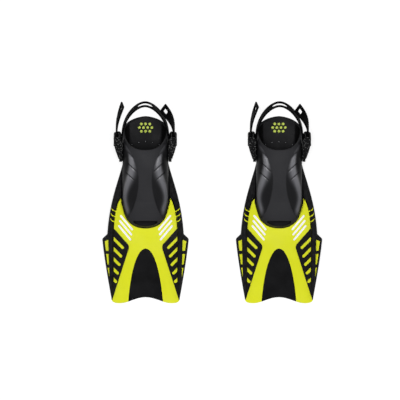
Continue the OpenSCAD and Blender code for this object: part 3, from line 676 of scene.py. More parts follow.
def pocket_skin(u, v):
    """The whole pocket as one skin: outer toe to lip, round the lip, and back inside to the toe."""
    if u < UPPER_SHARE:
        angle = math.pi * u / UPPER_SHARE
    else:
        angle = math.pi * (1 + (u - UPPER_SHARE) / (1 - UPPER_SHARE))
    lip_round = SHELL_T / 2
    end = lip_y(angle) - lip_round
    if v < OUTER_SHARE or v > OUTER_SHARE + LIP_SHARE:
        inside = v > OUTER_SHARE
        run = (1 - v) / (1 - OUTER_SHARE - LIP_SHARE) if inside else v / OUTER_SHARE
        toe = BALL_Y - (TOE_LEN - (SHELL_T if inside else 0.0)) * TOE_CLOSE
        if run < SEAM_MERGE:
            return Vector((0.0, toe, floor_z(toe) + BED_T + TOE_POLE_UP))
        return pocket_wall(angle, toe + (end - toe) * run ** ROW_POWER, inside)
    turn = math.pi * (v - OUTER_SHARE) / LIP_SHARE
    outer, inner = pocket_wall(angle, end, False), pocket_wall(angle, end, True)
    away = (outer - pocket_wall(angle, end - LIP_STEP, False)).normalized()
    return (outer + inner) / 2 + (outer - inner) / 2 * math.cos(turn) + away * lip_round * math.sin(turn)


def lip_collar(angle, y):
    """1 on the collar along the lip, fading out down the sides."""
    along = ease((y - lip_y(angle) + COLLAR_W + COLLAR_FADE) / COLLAR_FADE)
    return along * ease(COLLAR_GAIN * math.sin(angle) - COLLAR_LEVEL)


def pocket_matt(u, v):
    """Where the pocket is matt and lighter: the instep panel and a collar along the lip."""
    if v > OUTER_SHARE + LIP_SHARE / 2 or u > UPPER_SHARE:
        return 0.0
    x, y = pocket_skin(u, v).xy
    return max(instep_panel(x, y), lip_collar(math.pi * u / UPPER_SHARE, y))


def pocket_gloss_and_highlight(u, v):
    """Where the pocket is glossy and carries a painted highlight: the side swells, between their grooves."""
    if v > OUTER_SHARE or u > UPPER_SHARE:
        return 0.0
    x, y = pocket_skin(u, v).xy
    bright = clamp(SHINE_GAIN * side_swell(x, y)) * (1 - LOW_SWELL_DULL * (1 - ease(y / SWELL_WIDEST_Y)))
    collar = COLLAR_HIGHLIGHT_SHARE * lip_collar(math.pi * u / UPPER_SHARE, y)
    return max(bright, collar) * (1 - instep_panel(x, y)) * (1 - side_grooves(x, y))


def pocket_shade(u, v):
    """Painted shade where the pocket lies in its own shade: below the side swells, and the walls beside the
    footbed.
    """
    x, y = pocket_skin(u, v).xy
    if v < OUTER_SHARE:
        margin = MARGIN_SHADE * ease((abs(x) - swell_line(y)) / SWELL_W - MARGIN_START)
        return margin * (1 - ease((y - WELT_START) / COLLAR_W)) if u < UPPER_SHARE else 0.0
    if v < OUTER_SHARE + LIP_SHARE:
        return 0.0
    return ease((abs(x) - BED_HALF) / BED_FADE) * ease((y - LIP_REACH) / BED_RUN)


def drain_cutter():
    """A closed block that opens the drain over the toes."""
    bm = bmesh.new()
    bmesh.ops.create_circle(bm, cap_ends=True, segments=DRAIN_SEGMENTS, radius=1.0)
    for vert in bm.verts:
        vert.co.x = (BALL_W / 2 - DRAIN_RIM) * signed_power(vert.co.x, 2 / TOE_POWER)
        vert.co.y = (TOE_LEN - DRAIN_RIM) * signed_power(vert.co.y, 2 / TOE_POWER)
    heel_side = DRAIN_RIM + DRAIN_LEN - TOE_LEN
    for place, normal in (
        ((DRAIN_W / 2, 0, 0), (1, 0, 0)), ((-DRAIN_W / 2, 0, 0), (-1, 0, 0)), ((0, heel_side, 0), (0, 1, 0)),
    ):
        bmesh.ops.bisect_plane(bm, geom=everything(bm), plane_co=place, plane_no=normal, clear_outer=True)
    base = floor_z(BALL_Y - TOE_LEN) + BED_T + TOE_H / 4
    bmesh.ops.translate(bm, verts=bm.verts, vec=(0.0, BALL_Y, base))
    raised = bmesh.ops.extrude_face_region(bm, geom=bm.faces[:])
    top = [item for item in raised["geom"] if isinstance(item, bmesh.types.BMVert)]
    bmesh.ops.translate(bm, verts=top, vec=(0.0, 0.0, INSTEP_H))
    return outward(bm)


def toe_bead(u, v):
    """A round bead where the pocket meets the blade, round the toe and up both sides to the horns."""
    run = 2 * v - 1
    turn = math.pi / 2 * max(-1.0, min(1.0, run / BEAD_TOE_SHARE))
    x, y = signed_power(math.sin(turn), 2 / TOE_POWER), abs(math.cos(turn)) ** (2 / TOE_POWER)
    slope = TOE_POWER - 1
    away = Vector((signed_power(x, slope) * TOE_LEN, -(y ** slope) * BALL_W / 2, 0.0)).normalized()
    share = abs(run) / BEAD_TOE_SHARE
    thin = BEAD_THIN * hump(share - BEAD_THIN_PLACE, BEAD_THIN_RUN)
    size = sizes().bead_radius * (1 - thin + BEAD_SIDE * ease((share - BEAD_SIDE_PLACE) / BEAD_SIDE_RUN))
    middle = Vector((BALL_W / 2 * x, BALL_Y - TOE_LEN * y, 0.0)) + away * size * BEAD_OUT
    middle.y += BEAD_RISE * max(0.0, abs(run) - BEAD_TOE_SHARE) / (1 - BEAD_TOE_SHARE)
    middle.z = web_z(middle.y) + BLADE_T + size * BEAD_UP
    angle = 2 * math.pi * u
    radius = size if 0 < v < 1 else 0.0
    return middle + (away * math.cos(angle) + Vector((0, 0, 1)) * math.sin(angle)) * radius


def footbed_nubs():
    """Five small round nubs on the footbed, just inside the lip."""
    bm = bmesh.new()
    for i in range(-2, 3):
        x, y = NUB_PITCH * i, NUB_Y - NUB_BOW * i * i
        place = Matrix.Translation((x, y, floor_z(y) + BED_T)) @ Matrix.Diagonal((1.0, 1.0, NUB_FLAT, 1.0))
        bmesh.ops.create_uvsphere(bm, u_segments=16, v_segments=10, radius=sizes().nub_radius, matrix=place)
    # The nubs take the pocket's gloss and its painted highlight
    highlight_layer = bm.verts.layers.float.new("shine")
    for vert in bm.verts:
        vert[highlight_layer] = 1.0
    return bm


# Side rails and blade
RAIL_STATIONS, RIB_GRID = 72, (40, 240)
RIB_POWER, RIB_DOME_SHARE, RIB_SINK, RIB_CREST_GAIN = 3.0, 0.8, 0.0006, 3
RIB_TIP_END, RIB_BOTH_ENDS, RIB_LEAST = 0.002, 0.003, 0.0005
RIB_GROOVE_PLACE, RIB_GROOVE_W, RIB_NARROW, RIB_WIDEN = 0.36, 0.13, 0.005, 0.006
RIB_SPANS = []
STRIPE_COUNT, STRIPE_W, STRIPE_GRID = 3, 0.0026, (16, 60)
STRIPE_FIRST, STRIPE_PITCH = -0.0113, 0.0113
STRIPE_INSET, STRIPE_INSET_STEP, STRIPE_EDGE = 0.0016, 0.0009, 0.97
STRIPE_BEND = ((0.0, 0.0), (-0.0008, -0.004), (-0.0035, -0.0062), (-0.011, -0.0084))
STRIPE_FIN_LEAST = 0.0003


def rib_spans():
    """The rib's inner edge, outer edge and top at stations from tip to waist, measured on the solid."""
    if RIB_SPANS:
        return RIB_SPANS
    node = "left_inner_rail"
    low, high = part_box(node)
    whole = solid_mesh(node)
    for i in range(RAIL_STATIONS + 1):
        y = low.y + RIB_TIP_END + (high.y - low.y - RIB_BOTH_ENDS) * i / RAIL_STATIONS
        part = whole.copy()
        cut = bmesh.ops.bisect_plane(part, geom=everything(part), plane_co=(0, y, 0), plane_no=(0, 1, 0))
        points = [item.co for item in cut["geom_cut"] if isinstance(item, bmesh.types.BMVert)]
        crown = [p.copy() for p in points if p.z > cover_z(y) + RIB_LEAST]
        part.free()
        across = [p.x - FIN_X["left"] for p in crown]
        RIB_SPANS.append((y, min(across), max(across), max(p.z for p in crown)))
    whole.free()
    return RIB_SPANS


def rib_span(y):
    """The rib's inner edge, outer edge and top at any station."""
    spans = rib_spans()
    step = (y - spans[0][0]) / (spans[1][0] - spans[0][0])
    i = int(max(0, min(RAIL_STATIONS - 1, step)))
    t = clamp(step - i)
    return [a + (b - a) * t for a, b in zip(spans[i][1:], spans[i + 1][1:])]


def rib_dome(t, y):
    """Height of the rib's domed top at t across it, from -1 to 1."""
    inner, outer, top = rib_span(y)
    base = cover_z(y) - RIB_SINK
    ridge = sizes().rib_groove * ease((outer - inner - RIB_NARROW) / RIB_WIDEN)
    groove = ridge * (hump(t - RIB_GROOVE_PLACE, RIB_GROOVE_W) + hump(t + RIB_GROOVE_PLACE, RIB_GROOVE_W))
    dome = max(0.0, 1 - abs(t) ** RIB_POWER) ** (1 / RIB_POWER)
    return base + max(0.0, (top - base) * dome - groove * dome)


def across_rib(t, y, z):
    """A point at t across the rib, from -1 to 1."""
    inner, outer = rib_span(y)[:2]
    return Vector(((inner + outer) / 2 + (outer - inner) / 2 * t, y, z))


def rib_crown(u, v):
    """The domed, grooved top of a rail's rib, from the blade tip to the waist."""
    spans = rib_spans()
    y = spans[0][0] + (spans[-1][0] - spans[0][0]) * v
    if v in (0.0, 1.0):
        return across_rib(0.0, y, cover_z(y))
    if u < RIB_DOME_SHARE:
        t = signed_power(math.cos(math.pi * u / RIB_DOME_SHARE), 2 / RIB_POWER)
        return across_rib(t, y, rib_dome(t, y))
    t = 2 * (u - RIB_DOME_SHARE) / (1 - RIB_DOME_SHARE) - 1
    return across_rib(t, y, cover_z(y) - RIB_SINK)


def rib_crest(u, v):
    """1 along the top of the rib, where it rubs."""
    return ease(1 - abs(u / RIB_DOME_SHARE - 0.5) * RIB_CREST_GAIN) if u < RIB_DOME_SHARE else 0.0


def rail_cover(node):
    """The flat soft cover of a rail with its windows, without the rib."""
    bm = solid_mesh(node)
    for vert in bm.verts:
        vert.co.z = min(vert.co.z, cover_z(vert.co.y))
    bmesh.ops.remove_doubles(bm, verts=bm.verts, dist=COVER_MERGE)
    bmesh.ops.dissolve_degenerate(bm, dist=SOLID_MERGE, edges=bm.edges)
    return flat_joined(bm)


def blade_copy(fin):
    """The blade with its window pads let in below the cover and its stripe fins under the ribs."""
    bm = solid_mesh(f"{fin}_blade")
    bmesh.ops.remove_doubles(bm, verts=bm.verts, dist=SOLID_MERGE)
    drop = sizes().window_step
    for vert in bm.verts:
        y, z = vert.co.yz
        if z > cover_z(y) + STRIPE_FIN_LEAST:
            vert.co.z = cover_z(y) - RIB_SINK - drop
        elif z > cover_z(y) - COVER_T / 2:
            vert.co.z = z - drop
    return flat_joined(bm)


def rail_stripe(i):
    """A shape function for one curved stripe that lies over the rib."""
    first = STRIPE_FIRST - STRIPE_PITCH * i
    start = Vector((rib_span(first)[1] - STRIPE_INSET - STRIPE_INSET_STEP * i, first))
    lift = sizes().stripe_raise

    def shape(u, v):
        angle = 2 * math.pi * u
        across = (1 - math.cos(angle)) / 2 if 0 < v < 1 else 0.5
        x, y = start + bezier(STRIPE_BEND, v) - Vector((0, STRIPE_W * across))
        inner, outer, top = rib_span(y)
        t = max(-STRIPE_EDGE, min(STRIPE_EDGE, (2 * x - inner - outer) / (outer - inner)))
        return across_rib(t, y, rib_dome(t, y) + (lift * math.sin(angle) if 0 < v < 1 else 0.0))

    return shape


def rail_stripes():
    """The stripes over both ribs of a fin."""
    bm = bmesh.new()
    for i in range(STRIPE_COUNT):
        joined(bm, surface(*STRIPE_GRID, rail_stripe(i)))
    bmesh.ops.mirror(bm, geom=everything(bm), axis="X", merge_dist=0)
    return outward(bm)


# Heel strap, in the plane of its loop: x across the fin, along towards the heel, then across the band
ROLLER_R, ROLLER_GAP = 0.002, 0.0003
WRAP_R = ROLLER_R + ROLLER_GAP + STRAP_T / 2
TAIL_X, LEG_X = ROLLER_X + WRAP_R, ROLLER_X - WRAP_R
TAIL_GRIP, TAIL_FLARE = CHEEK_LEN - 0.001, 0.0011
TAIL_START = [(TAIL_X + TAIL_FLARE, TAIL_GRIP), (TAIL_X + 2 * TAIL_FLARE, TAIL_GRIP + 0.030)]
TAILS = {
    "right": (TAIL_START + [(0.054, 0.092), (0.037, STRAP_REACH - 0.009)], math.radians(38)),
    "left": (TAIL_START + [(0.056, 0.098), (0.0475, STRAP_REACH - 0.0015)], math.radians(12)),
}
GRIP_START = ROLLER_REACH + 0.002
LOOP_BACK = STRAP_REACH - STRAP_T / 2
LEG_BEND = [
    (LEG_X, ROLLER_REACH + 0.003), (LEG_X - 0.0005, 0.028), (LEG_X - 0.001, 0.036), (LEG_X - 0.0022, 0.047),
]
HEEL_BEND = [(LEG_X - 0.0026, 0.052), (LEG_X - 0.0058, 0.095), (0.018, LOOP_BACK), (0.0, LOOP_BACK)]
TAIL_STEPS, GRIP_STEPS, TURN_STEPS, LEG_STEPS, HEEL_STEPS = 60, 24, 24, 12, 50
TOOTHED_TAIL, TOOTH_EDGE = 0.45, 1.4
STRAP_ROWS, SECTION_STEPS, STRAP_CORNER = 640, 6, 0.0009
HEADING_ROWS, LEAST_STEP = 2, 1e-9
HEEL_SLOT_LEN, HEEL_SLOT_W, HEEL_SLOT_DEEP, HEEL_SLOT_IN, HEEL_SLOT_ROUND = 0.034, 0.014, 0.034, 0.012, 0.48
PULL_HOLE, PULL_HOLE_CORNER, PULL_HOLE_SPAN, PULL_HOLE_PLACE = 0.0105, 0.0018, 2 / 12, 0.1
CUTTER_SEGMENTS, MOSTLY_ALONG = 8, 0.9


def loop_matrix(fin):
    """Takes the plane of the strap loop to its place on a fin."""
    axes = Matrix((Vector((1, 0, 0)), LOOP_ALONG, LOOP_ACROSS)).transposed().to_4x4()
    return Matrix.Translation((FIN_X[fin], POST_Y, POST_Z)) @ axes


def half_band(tail, twist):
    """Half of the band from its tail end to the back of the loop, as (point, twist, toothed)."""
    run = []
    for i in range(TAIL_STEPS):
        t = 1 - i / TAIL_STEPS
        run.append((bezier(tail, t), twist * ease(t), float(t < TOOTHED_TAIL)))
    for i in range(GRIP_STEPS):
        t = 1 - i / GRIP_STEPS
        run.append((Vector((TAIL_X + TAIL_FLARE * t, GRIP_START + (TAIL_GRIP - GRIP_START) * t)), 0.0, 1.0))
    for i in range(TURN_STEPS + 1):
        a = math.pi * i / TURN_STEPS
        run.append((Vector((ROLLER_X + WRAP_R * math.cos(a), ROLLER_REACH - WRAP_R * math.sin(a))), 0.0, 0.0))
    for bend, steps in ((LEG_BEND, LEG_STEPS), (HEEL_BEND, HEEL_STEPS)):
        run += [(bezier(bend, i / steps), 0.0, 0.0) for i in range(steps + 1)]
    return run


def band_rows():
    """The whole band at even steps from one tail's end to the other's, as (point, heading, twist, tooth)."""
    left = [(Vector((-p.x, p.y)), twist, tooth) for p, twist, tooth in half_band(*TAILS["left"])]
    run = half_band(*TAILS["right"]) + left[-2::-1]
    reach = [0.0]
    for last, point in zip(run, run[1:]):
        reach.append(reach[-1] + (point[0] - last[0]).length)
    rows, k = [], 0
    for i in range(STRAP_ROWS + 1):
        want = reach[-1] * i / STRAP_ROWS
        while k < len(run) - 2 and reach[k + 1] < want:
            k += 1
        t = clamp((want - reach[k]) / max(LEAST_STEP, reach[k + 1] - reach[k]))
        toothed = run[k][2] * run[k + 1][2]
        phase = min(want, reach[-1] - want) / TOOTH_PITCH
        tooth = toothed * ease(0.5 + TOOTH_EDGE * math.cos(2 * math.pi * phase))
        twist = run[k][1] + (run[k + 1][1] - run[k][1]) * t
        rows.append([run[k][0].lerp(run[k + 1][0], t), None, twist, tooth])
    for i, row in enumerate(rows):
        after_here, before_here = rows[min(i + HEADING_ROWS, STRAP_ROWS)], rows[max(i - HEADING_ROWS, 0)]
        row[1] = (after_here[0] - before_here[0]).normalized()
    return rows


def band_skin(rows):
    """A shape function that sweeps a round-cornered section along the band."""
    tooth_height = sizes().tooth_height
    half_t, half_w = STRAP_T / 2 - STRAP_CORNER, STRAP_W / 2 - STRAP_CORNER

    def shape(u, v):
        point, heading, twist, tooth = rows[round(v * STRAP_ROWS)]
        corner, k = divmod(round(u * 4 * SECTION_STEPS) % (4 * SECTION_STEPS), SECTION_STEPS)
        angle = (corner + k / (SECTION_STEPS - 1)) * math.pi / 2
        size = 1.0 if 0 < v < 1 else 0.0
        sign_t = 1 if corner in (0, 3) else -1
        sign_w = 1 if corner in (0, 1) else -1
        thick = (sign_t * half_t + STRAP_CORNER * math.cos(angle)) * size
        wide = (sign_w * half_w + STRAP_CORNER * math.sin(angle)) * size
        if thick < -half_t:
            thick -= tooth_height * tooth
        c, s = math.cos(twist), math.sin(twist)
        inward, across = c * thick + s * wide, c * wide - s * thick
        return Vector((point.x + heading.y * inward, point.y - heading.x * inward, across))

    return shape


def block(size, place, corner, upright):
    """A closed block with the four edges along one axis rounded."""
    bm = bmesh.new()
    bmesh.ops.create_cube(bm, size=1.0, matrix=Matrix.Diagonal((*size, 1.0)))
    runs = {e: (e.verts[0].co - e.verts[1].co).normalized() for e in bm.edges}
    edges = [e for e, run in runs.items() if abs(run[upright]) > MOSTLY_ALONG]
    bevelled(bm, edges, corner, CUTTER_SEGMENTS)
    bmesh.ops.transform(bm, matrix=place, verts=bm.verts)
    return bm


def pull_hole_place(side):
    """Where a tail's pull hole is, turned with the tail."""
    tail, twist = TAILS[side]
    sign = 1 if side == "right" else -1
    along = bezier(tail, 1.0) - bezier(tail, 1 - PULL_HOLE_SPAN)
    at = bezier(tail, 1 - PULL_HOLE_SPAN) + along * PULL_HOLE_PLACE
    heading = math.atan2(sign * along.x, along.y)
    turn = Matrix.Rotation(-heading, 4, "Z") @ Matrix.Rotation(-sign * twist, 4, "Y")
    return Matrix.Translation((sign * at.x, at.y, 0.0)) @ turn


def strap_cutters():
    """The slot at the back of the loop and the pull hole in each tail."""
    slot_place = Matrix.Translation((0, STRAP_REACH - HEEL_SLOT_IN, 0))
    slot_size = (HEEL_SLOT_LEN, HEEL_SLOT_DEEP, HEEL_SLOT_W)
    slot = block(slot_size, slot_place, HEEL_SLOT_W * HEEL_SLOT_ROUND, 1)
    hole_size = (4 * STRAP_T, PULL_HOLE, PULL_HOLE)
    return [slot] + [block(hole_size, pull_hole_place(side), PULL_HOLE_CORNER, 0) for side in TAILS]


# Buckles
CHEEK_FACE = 0.0152
CAP_RADIUS, CAP_FLAT = 0.0024, 0.6
LEVER_EDGE_SHARE, PIN_EDGE = 0.7, 0.0002


def pin_caps(fin, side):
    """Round caps over the ends of a buckle's pins."""
    bm = bmesh.new()
    turn = loop_matrix(fin).to_3x3().to_4x4()
    flat = Matrix.Diagonal((1.0, 1.0, CAP_FLAT, 1.0))
    for joint in ("roller_spin", "lever_lift"):
        middle = Vector(JOINTS[f"{fin}_{side}_{joint}"]["pos_m"])
        for face in (-CHEEK_FACE, CHEEK_FACE):
            place = Matrix.Translation(middle + LOOP_ACROSS * face) @ turn @ flat
            bmesh.ops.create_uvsphere(bm, u_segments=20, v_segments=10, radius=CAP_RADIUS, matrix=place)
    return bm


# Settings that a user would change
def colour_setting(name, pieces, default):
    """A colour of some pieces."""
    hint = f"Colour of the {pieces}"
    return FloatVectorProperty(
        name=name, description=hint, subtype="COLOR", size=3, min=0, max=1, default=default,
    )


def setting(name, description, default, unit="LENGTH"):
    """A number with its label and hint, a length in metres unless its unit says otherwise."""
    return FloatProperty(name=name, description=description, unit=unit, default=default)


class FinColours(bpy.types.PropertyGroup):
    """Colours of the fins' materials."""

    blade_yellow: colour_setting("Blade", "blade", (0.72, 0.75, 0.012))
    stud_lime: colour_setting("Heel studs", "heel studs", (0.60, 0.72, 0.12))
    pocket_grey: colour_setting("Foot pocket", "foot pocket", (0.0305, 0.0305, 0.0335))
    rail_black: colour_setting("Rails", "rails, centre panel and sole", (0.007, 0.007, 0.0078))
    strap_black: colour_setting("Strap", "heel strap", (0.0022, 0.0022, 0.0025))
    buckle_black: colour_setting("Buckles", "buckles and levers", (0.006, 0.006, 0.0066))
    pin_steel: colour_setting("Pins", "steel pins", (0.60, 0.60, 0.62))


class FinSizes(bpy.types.PropertyGroup):
    """Sizes of the moulded detail."""

    panel_raise: setting("Instep panel", "Height of the instep panel above the sides", 0.0008)
    side_swell: setting("Side swell", "Height of the swells beside the instep panel", 0.0026)
    valley_depth: setting("Valleys", "Depth of the hollows between the swells and the panel", 0.0026)
    groove_depth: setting("Grooves", "Depth of the slanted grooves in the pocket", 0.0013)
    bead_radius: setting("Toe bead", "Radius of the bead round the toe", 0.0013)
    nub_radius: setting("Footbed nubs", "Radius of the nubs on the footbed", 0.0011)
    rib_groove: setting("Rib grooves", "Depth of the grooves along each rib", 0.0008)
    window_step: setting("Window step", "How far the window pads lie below the soft cover", 0.0006)
    edge_round: setting("Edge rounding", "Rounding of the moulded edges", 0.0005)
    tooth_height: setting("Ladder teeth", "Height of the teeth on the strap tails", 0.0006)
    stripe_raise: setting("Rail stripes", "Height of the stripes over the ribs", 0.0006)


class StudioSettings(bpy.types.PropertyGroup):
    """Light and camera."""

    view_width: setting("View width", "Width of the floor that the camera sees", 0.86)
    lens: setting("Lens", "Focal length", 400.0, "CAMERA")
    top_power: setting("Top lamp", "Power of the lamp overhead", 36.0, "POWER")
    toe_power: setting("Toe lamp", "Power of the lamp past the blades", 1.0, "POWER")
    side_power: setting("Side lamps", "Power of each side lamp", 2.5, "POWER")
    ceiling: setting("Ceiling", "Strength of the light from the ceiling", 0.1, "NONE")
    floor_glow: setting("Floor glow", "White added to the floor for the camera", 0.78, "NONE")


# Stage, with each lamp's place, its two sides and the setting of its power
LAMPS = {
    "top_lamp": ((0.0, 0.0, 2.2), (1.0, 1.0), "top_power"),
    "toe_lamp": ((0.0, -1.1, 0.85), (1.0, 0.35), "toe_power"),
    "left_lamp": ((-1.3, 0.05, 0.75), (1.0, 0.3), "side_power"),
    "right_lamp": ((1.3, 0.05, 0.75), (1.0, 0.3), "side_power"),
}
VIEW_CENTRE, BLADE_LEVEL = (-0.0264, 0.0042), 0.015
SENSOR = 36.0
FLOOR_HALF = 8.0
PAPER, PAPER_SHADE, PAPER_CLOUDS, PAPER_ROUGHNESS, PAPER_GLOSS = 0.32, 0.97, 3.0, 0.9, 0.1
WALL_TOP, CEILING_EDGE, WALL_LIGHT = 0.25, 0.8, 0.35
WHITE = (1, 1, 1, 1)


def seen_directly(tree):
    """1 for camera, glossy and transmission rays."""
    path = tree.nodes.new("ShaderNodeLightPath")
    kinds = ("Camera", "Glossy", "Transmission")
    camera, glossy, through = (path.outputs[f"Is {kind} Ray"] for kind in kinds)
    return math_node(tree, "MAXIMUM", math_node(tree, "MAXIMUM", camera, glossy), through)


def studio_floor(glow):
    """Pale paper that looks white to the camera and keeps its shadows."""
    material, tree, shader = clouded("studio_floor", [PAPER] * 3, PAPER_SHADE, PAPER_CLOUDS)
    fill(tree, shader, {"Roughness": PAPER_ROUGHNESS, "Specular IOR Level": PAPER_GLOSS})
    strength = math_node(tree, "MULTIPLY", seen_directly(tree), glow)
    shine = added(tree, "Emission", {"Color": WHITE, "Strength": strength})
    both = added(tree, "AddShader", {0: shader.outputs["BSDF"], 1: shine})
    fill(tree, tree.nodes["Material Output"], {"Surface": both})
    return material


def white_room(ceiling):
    """White walls all round that fall off to a darker ceiling."""
    world = bpy.data.worlds.new("white_room")
    world.use_nodes = True
    tree = world.node_tree
    light = ramped(tree, axis_of(tree, "Z"), WALL_TOP, CEILING_EDGE, WALL_LIGHT, ceiling)
    fill(tree, tree.nodes["Background"], {"Color": WHITE, "Strength": light})
    bpy.context.scene.world = world


def soft_lamp(name, place, size, power):
    """A rectangular lamp that faces the middle of the fins."""
    lamp = bpy.data.lights.new(name, "AREA")
    lamp.shape = "RECTANGLE"
    lamp.size, lamp.size_y = size
    lamp.energy = power
    obj = linked(name, lamp)
    obj.location = place
    obj.rotation_euler = (-Vector(place)).to_track_quat("-Z", "Y").to_euler()


def overhead_camera(width, lens):
    """A long lens straight above, with the blade tips at the foot of the picture."""
    camera = bpy.data.cameras.new("camera")
    camera.lens = lens
    camera.sensor_width = SENSOR
    distance = width * lens / SENSOR
    camera.clip_end = 3 * distance
    obj = linked("camera", camera)
    obj.location = (*VIEW_CENTRE, BLADE_LEVEL + distance)
    bpy.context.scene.camera = obj


class FINS_OT_stage(bpy.types.Operator):
    """Makes the floor, the lamps, the white room and the camera"""

    bl_idname = "fins.stage"
    bl_label = "Studio"

    def execute(self, context):
        studio = context.scene.fin_studio
        bm = bmesh.new()
        bmesh.ops.create_grid(bm, x_segments=1, y_segments=1, size=FLOOR_HALF)
        finished(bm, "studio_floor", studio_floor(studio.floor_glow))
        white_room(studio.ceiling)
        for name, (place, size, power) in LAMPS.items():
            soft_lamp(name, place, size, getattr(studio, power))
        overhead_camera(studio.view_width, studio.lens)
        context.scene.view_settings.view_transform = "Standard"
        return {"FINISHED"}


class FINS_OT_foot_pockets(bpy.types.Operator):
    """Makes the soft foot pockets with their toe beads and footbed nubs"""

    bl_idname = "fins.foot_pockets"
    bl_label = "Foot pockets"

    def execute(self, context):
        for fin in FINS:
            body = f"{fin}_fin"
            rubber = finish("pocket_rubber")
            # shine carries the gloss and the painted highlight, and shade carries the painted shade
            stored = {"panel": pocket_matt, "shine": pocket_gloss_and_highlight, "shade": pocket_shade}
            pocket = finished(surface(*POCKET_GRID, pocket_skin, **stored), f"{fin}_pocket_skin", rubber)
            cut_away(pocket, finished(drain_cutter(), "drain_cutter", rubber))
            pocket.data.transform(Matrix.Translation((FIN_X[fin], 0, 0)))
            seated(pocket, body, "pocket_rubber", f"{fin}_foot_pocket")
            piece(moved(surface(*BEAD_GRID, toe_bead), FIN_X[fin]), f"{fin}_toe_bead", body, "rail_rubber")
            piece(moved(footbed_nubs(), FIN_X[fin]), f"{fin}_footbed_nubs", body, "pocket_rubber")
        return {"FINISHED"}


class FINS_OT_blades(bpy.types.Operator):
    """Makes the blades and the soft panels set in them"""

    bl_idname = "fins.blades"
    bl_label = "Blades"

    def execute(self, context):
        edge = sizes().edge_round
        for fin in FINS:
            body, node, panel = f"{fin}_fin", f"{fin}_blade", f"{fin}_centre_panel"
            piece(rounded(blade_copy(fin), edge), f"{fin}_blade_plate", body, "blade_plastic", node)
            piece(moved(rail_stripes(), FIN_X[fin]), f"{fin}_rail_stripes", body, "blade_plastic", node)
            node_piece(panel, f"{fin}_panel_skin", body, "panel_rubber", edge)
        return {"FINISHED"}


class FINS_OT_rails(bpy.types.Operator):
    """Makes the soft side rails: flat covers with windows, and domed ribs"""

    bl_idname = "fins.rails"
    bl_label = "Side rails"

    def execute(self, context):
        edge = sizes().edge_round
        for fin in FINS:
            for side in SIDES:
                body, node = f"{fin}_fin", f"{fin}_{side}_rail"
                piece(rounded(rail_cover(node), edge), f"{node}_cover", body, "rail_rubber", node)
                crown = surface(*RIB_GRID, rib_crown, crest=rib_crest)
                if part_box(node)[0].x < FIN_X[fin] - BALL_W / 2:
                    bmesh.ops.scale(crown, vec=(-1, 1, 1), verts=crown.verts)
                    outward(crown)
                piece(moved(crown, FIN_X[fin]), f"{node}_rib", body, "rail_rubber", node)
        return {"FINISHED"}


class FINS_OT_soles(bpy.types.Operator):
    """Makes the treaded soles and the heel studs"""

    bl_idname = "fins.soles"
    bl_label = "Soles and studs"

    def execute(self, context):
        edge = sizes().edge_round
        for fin in FINS:
            body, sole, studs = f"{fin}_fin", f"{fin}_sole_plate", f"{fin}_heel_studs"
            node_piece(sole, f"{fin}_sole_tread", body, "sole_rubber", edge)
            piece(node_copy(studs, STUD_FLAT_ANGLE), f"{fin}_stud_domes", body, "stud_rubber", studs)
        return {"FINISHED"}


class FINS_OT_straps(bpy.types.Operator):
    """Makes the heel straps with their ladder teeth, heel slot and pull holes"""

    bl_idname = "fins.straps"
    bl_label = "Heel straps"

    def execute(self, context):
        rubber = finish("strap_rubber")
        rows = band_rows()
        for fin in FINS:
            band = surface(4 * SECTION_STEPS, STRAP_ROWS, band_skin(rows))
            strap = finished(band, f"{fin}_strap_band", rubber)
            for cutter in strap_cutters():
                cut_away(strap, finished(cutter, "strap_cutter", rubber))
            strap.data.transform(loop_matrix(fin))
            seated(strap, f"{fin}_strap", "strap_rubber", f"{fin}_heel_strap")
        return {"FINISHED"}


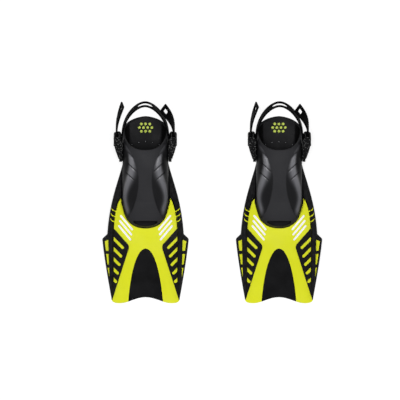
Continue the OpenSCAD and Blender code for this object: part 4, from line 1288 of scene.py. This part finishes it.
class FINS_OT_buckles(bpy.types.Operator):
    """Makes the buckles: posts, ribbed frames, rollers, locking levers and pins"""

    bl_idname = "fins.buckles"
    bl_label = "Buckles"

    def execute(self, context):
        edge = sizes().edge_round
        for fin in FINS:
            for side in SIDES:
                self.make(fin, f"{fin}_{side}", edge, pin_caps(fin, side))
        return {"FINISHED"}

    def make(self, fin, base, edge, caps):
        """One buckle with its post, lever, roller and pins."""
        body, lever, node = f"{fin}_strap", f"{base}_lever", f"{base}_buckle_frame"
        buckle = joined(rounded(node_copy(node), edge), caps)
        piece(buckle, f"{base}_buckle_body", body, "buckle_plastic", node)
        node_piece(f"{base}_post", f"{base}_pivot_post", f"{fin}_fin", "buckle_plastic", edge)
        node_piece(f"{base}_lock_lever", f"{lever}_tab", lever, "lever_plastic", edge * LEVER_EDGE_SHARE)
        node = f"{base}_roller"
        piece(node_copy(node), f"{node}_tube", f"{base}_spool", "roller_plastic", node)
        for node in (f"{base}_roller_pin", f"{base}_lever_pin"):
            node_piece(node, f"{node}_rod", body, "pin_steel", PIN_EDGE)


OPERATORS = (
    FINS_OT_stage, FINS_OT_foot_pockets, FINS_OT_rails, FINS_OT_blades, FINS_OT_soles, FINS_OT_straps,
    FINS_OT_buckles,
)


class FINS_PT_sidebar(bpy.types.Panel):
    """Lists the fins' settings and makers"""

    bl_label = "Snorkelling Fins"
    bl_idname = "FINS_PT_sidebar"
    bl_space_type = "VIEW_3D"
    bl_region_type = "UI"
    bl_category = "Fins"

    def draw(self, context):
        for group in SETTINGS:
            settings = getattr(context.scene, group)
            box = self.layout.box()
            for name in settings.__annotations__:
                box.prop(settings, name)
        for operator in OPERATORS:
            self.layout.operator(operator.bl_idname)


SETTINGS = {"fin_colours": FinColours, "fin_sizes": FinSizes, "fin_studio": StudioSettings}
CLASSES = (*SETTINGS.values(), *OPERATORS, FINS_PT_sidebar)


def register():
    for cls in CLASSES:
        bpy.utils.register_class(cls)
    for name, group in SETTINGS.items():
        setattr(bpy.types.Scene, name, PointerProperty(type=group))


def unregister():
    for name in SETTINGS:
        delattr(bpy.types.Scene, name)
    for cls in reversed(CLASSES):
        bpy.utils.unregister_class(cls)


def main():
    register()
    bpy.ops.fins.stage()
    bpy.ops.fins.foot_pockets()
    bpy.ops.fins.rails()
    bpy.ops.fins.blades()
    bpy.ops.fins.soles()
    bpy.ops.fins.straps()
    bpy.ops.fins.buckles()


if __name__ == "__main__":
    main()
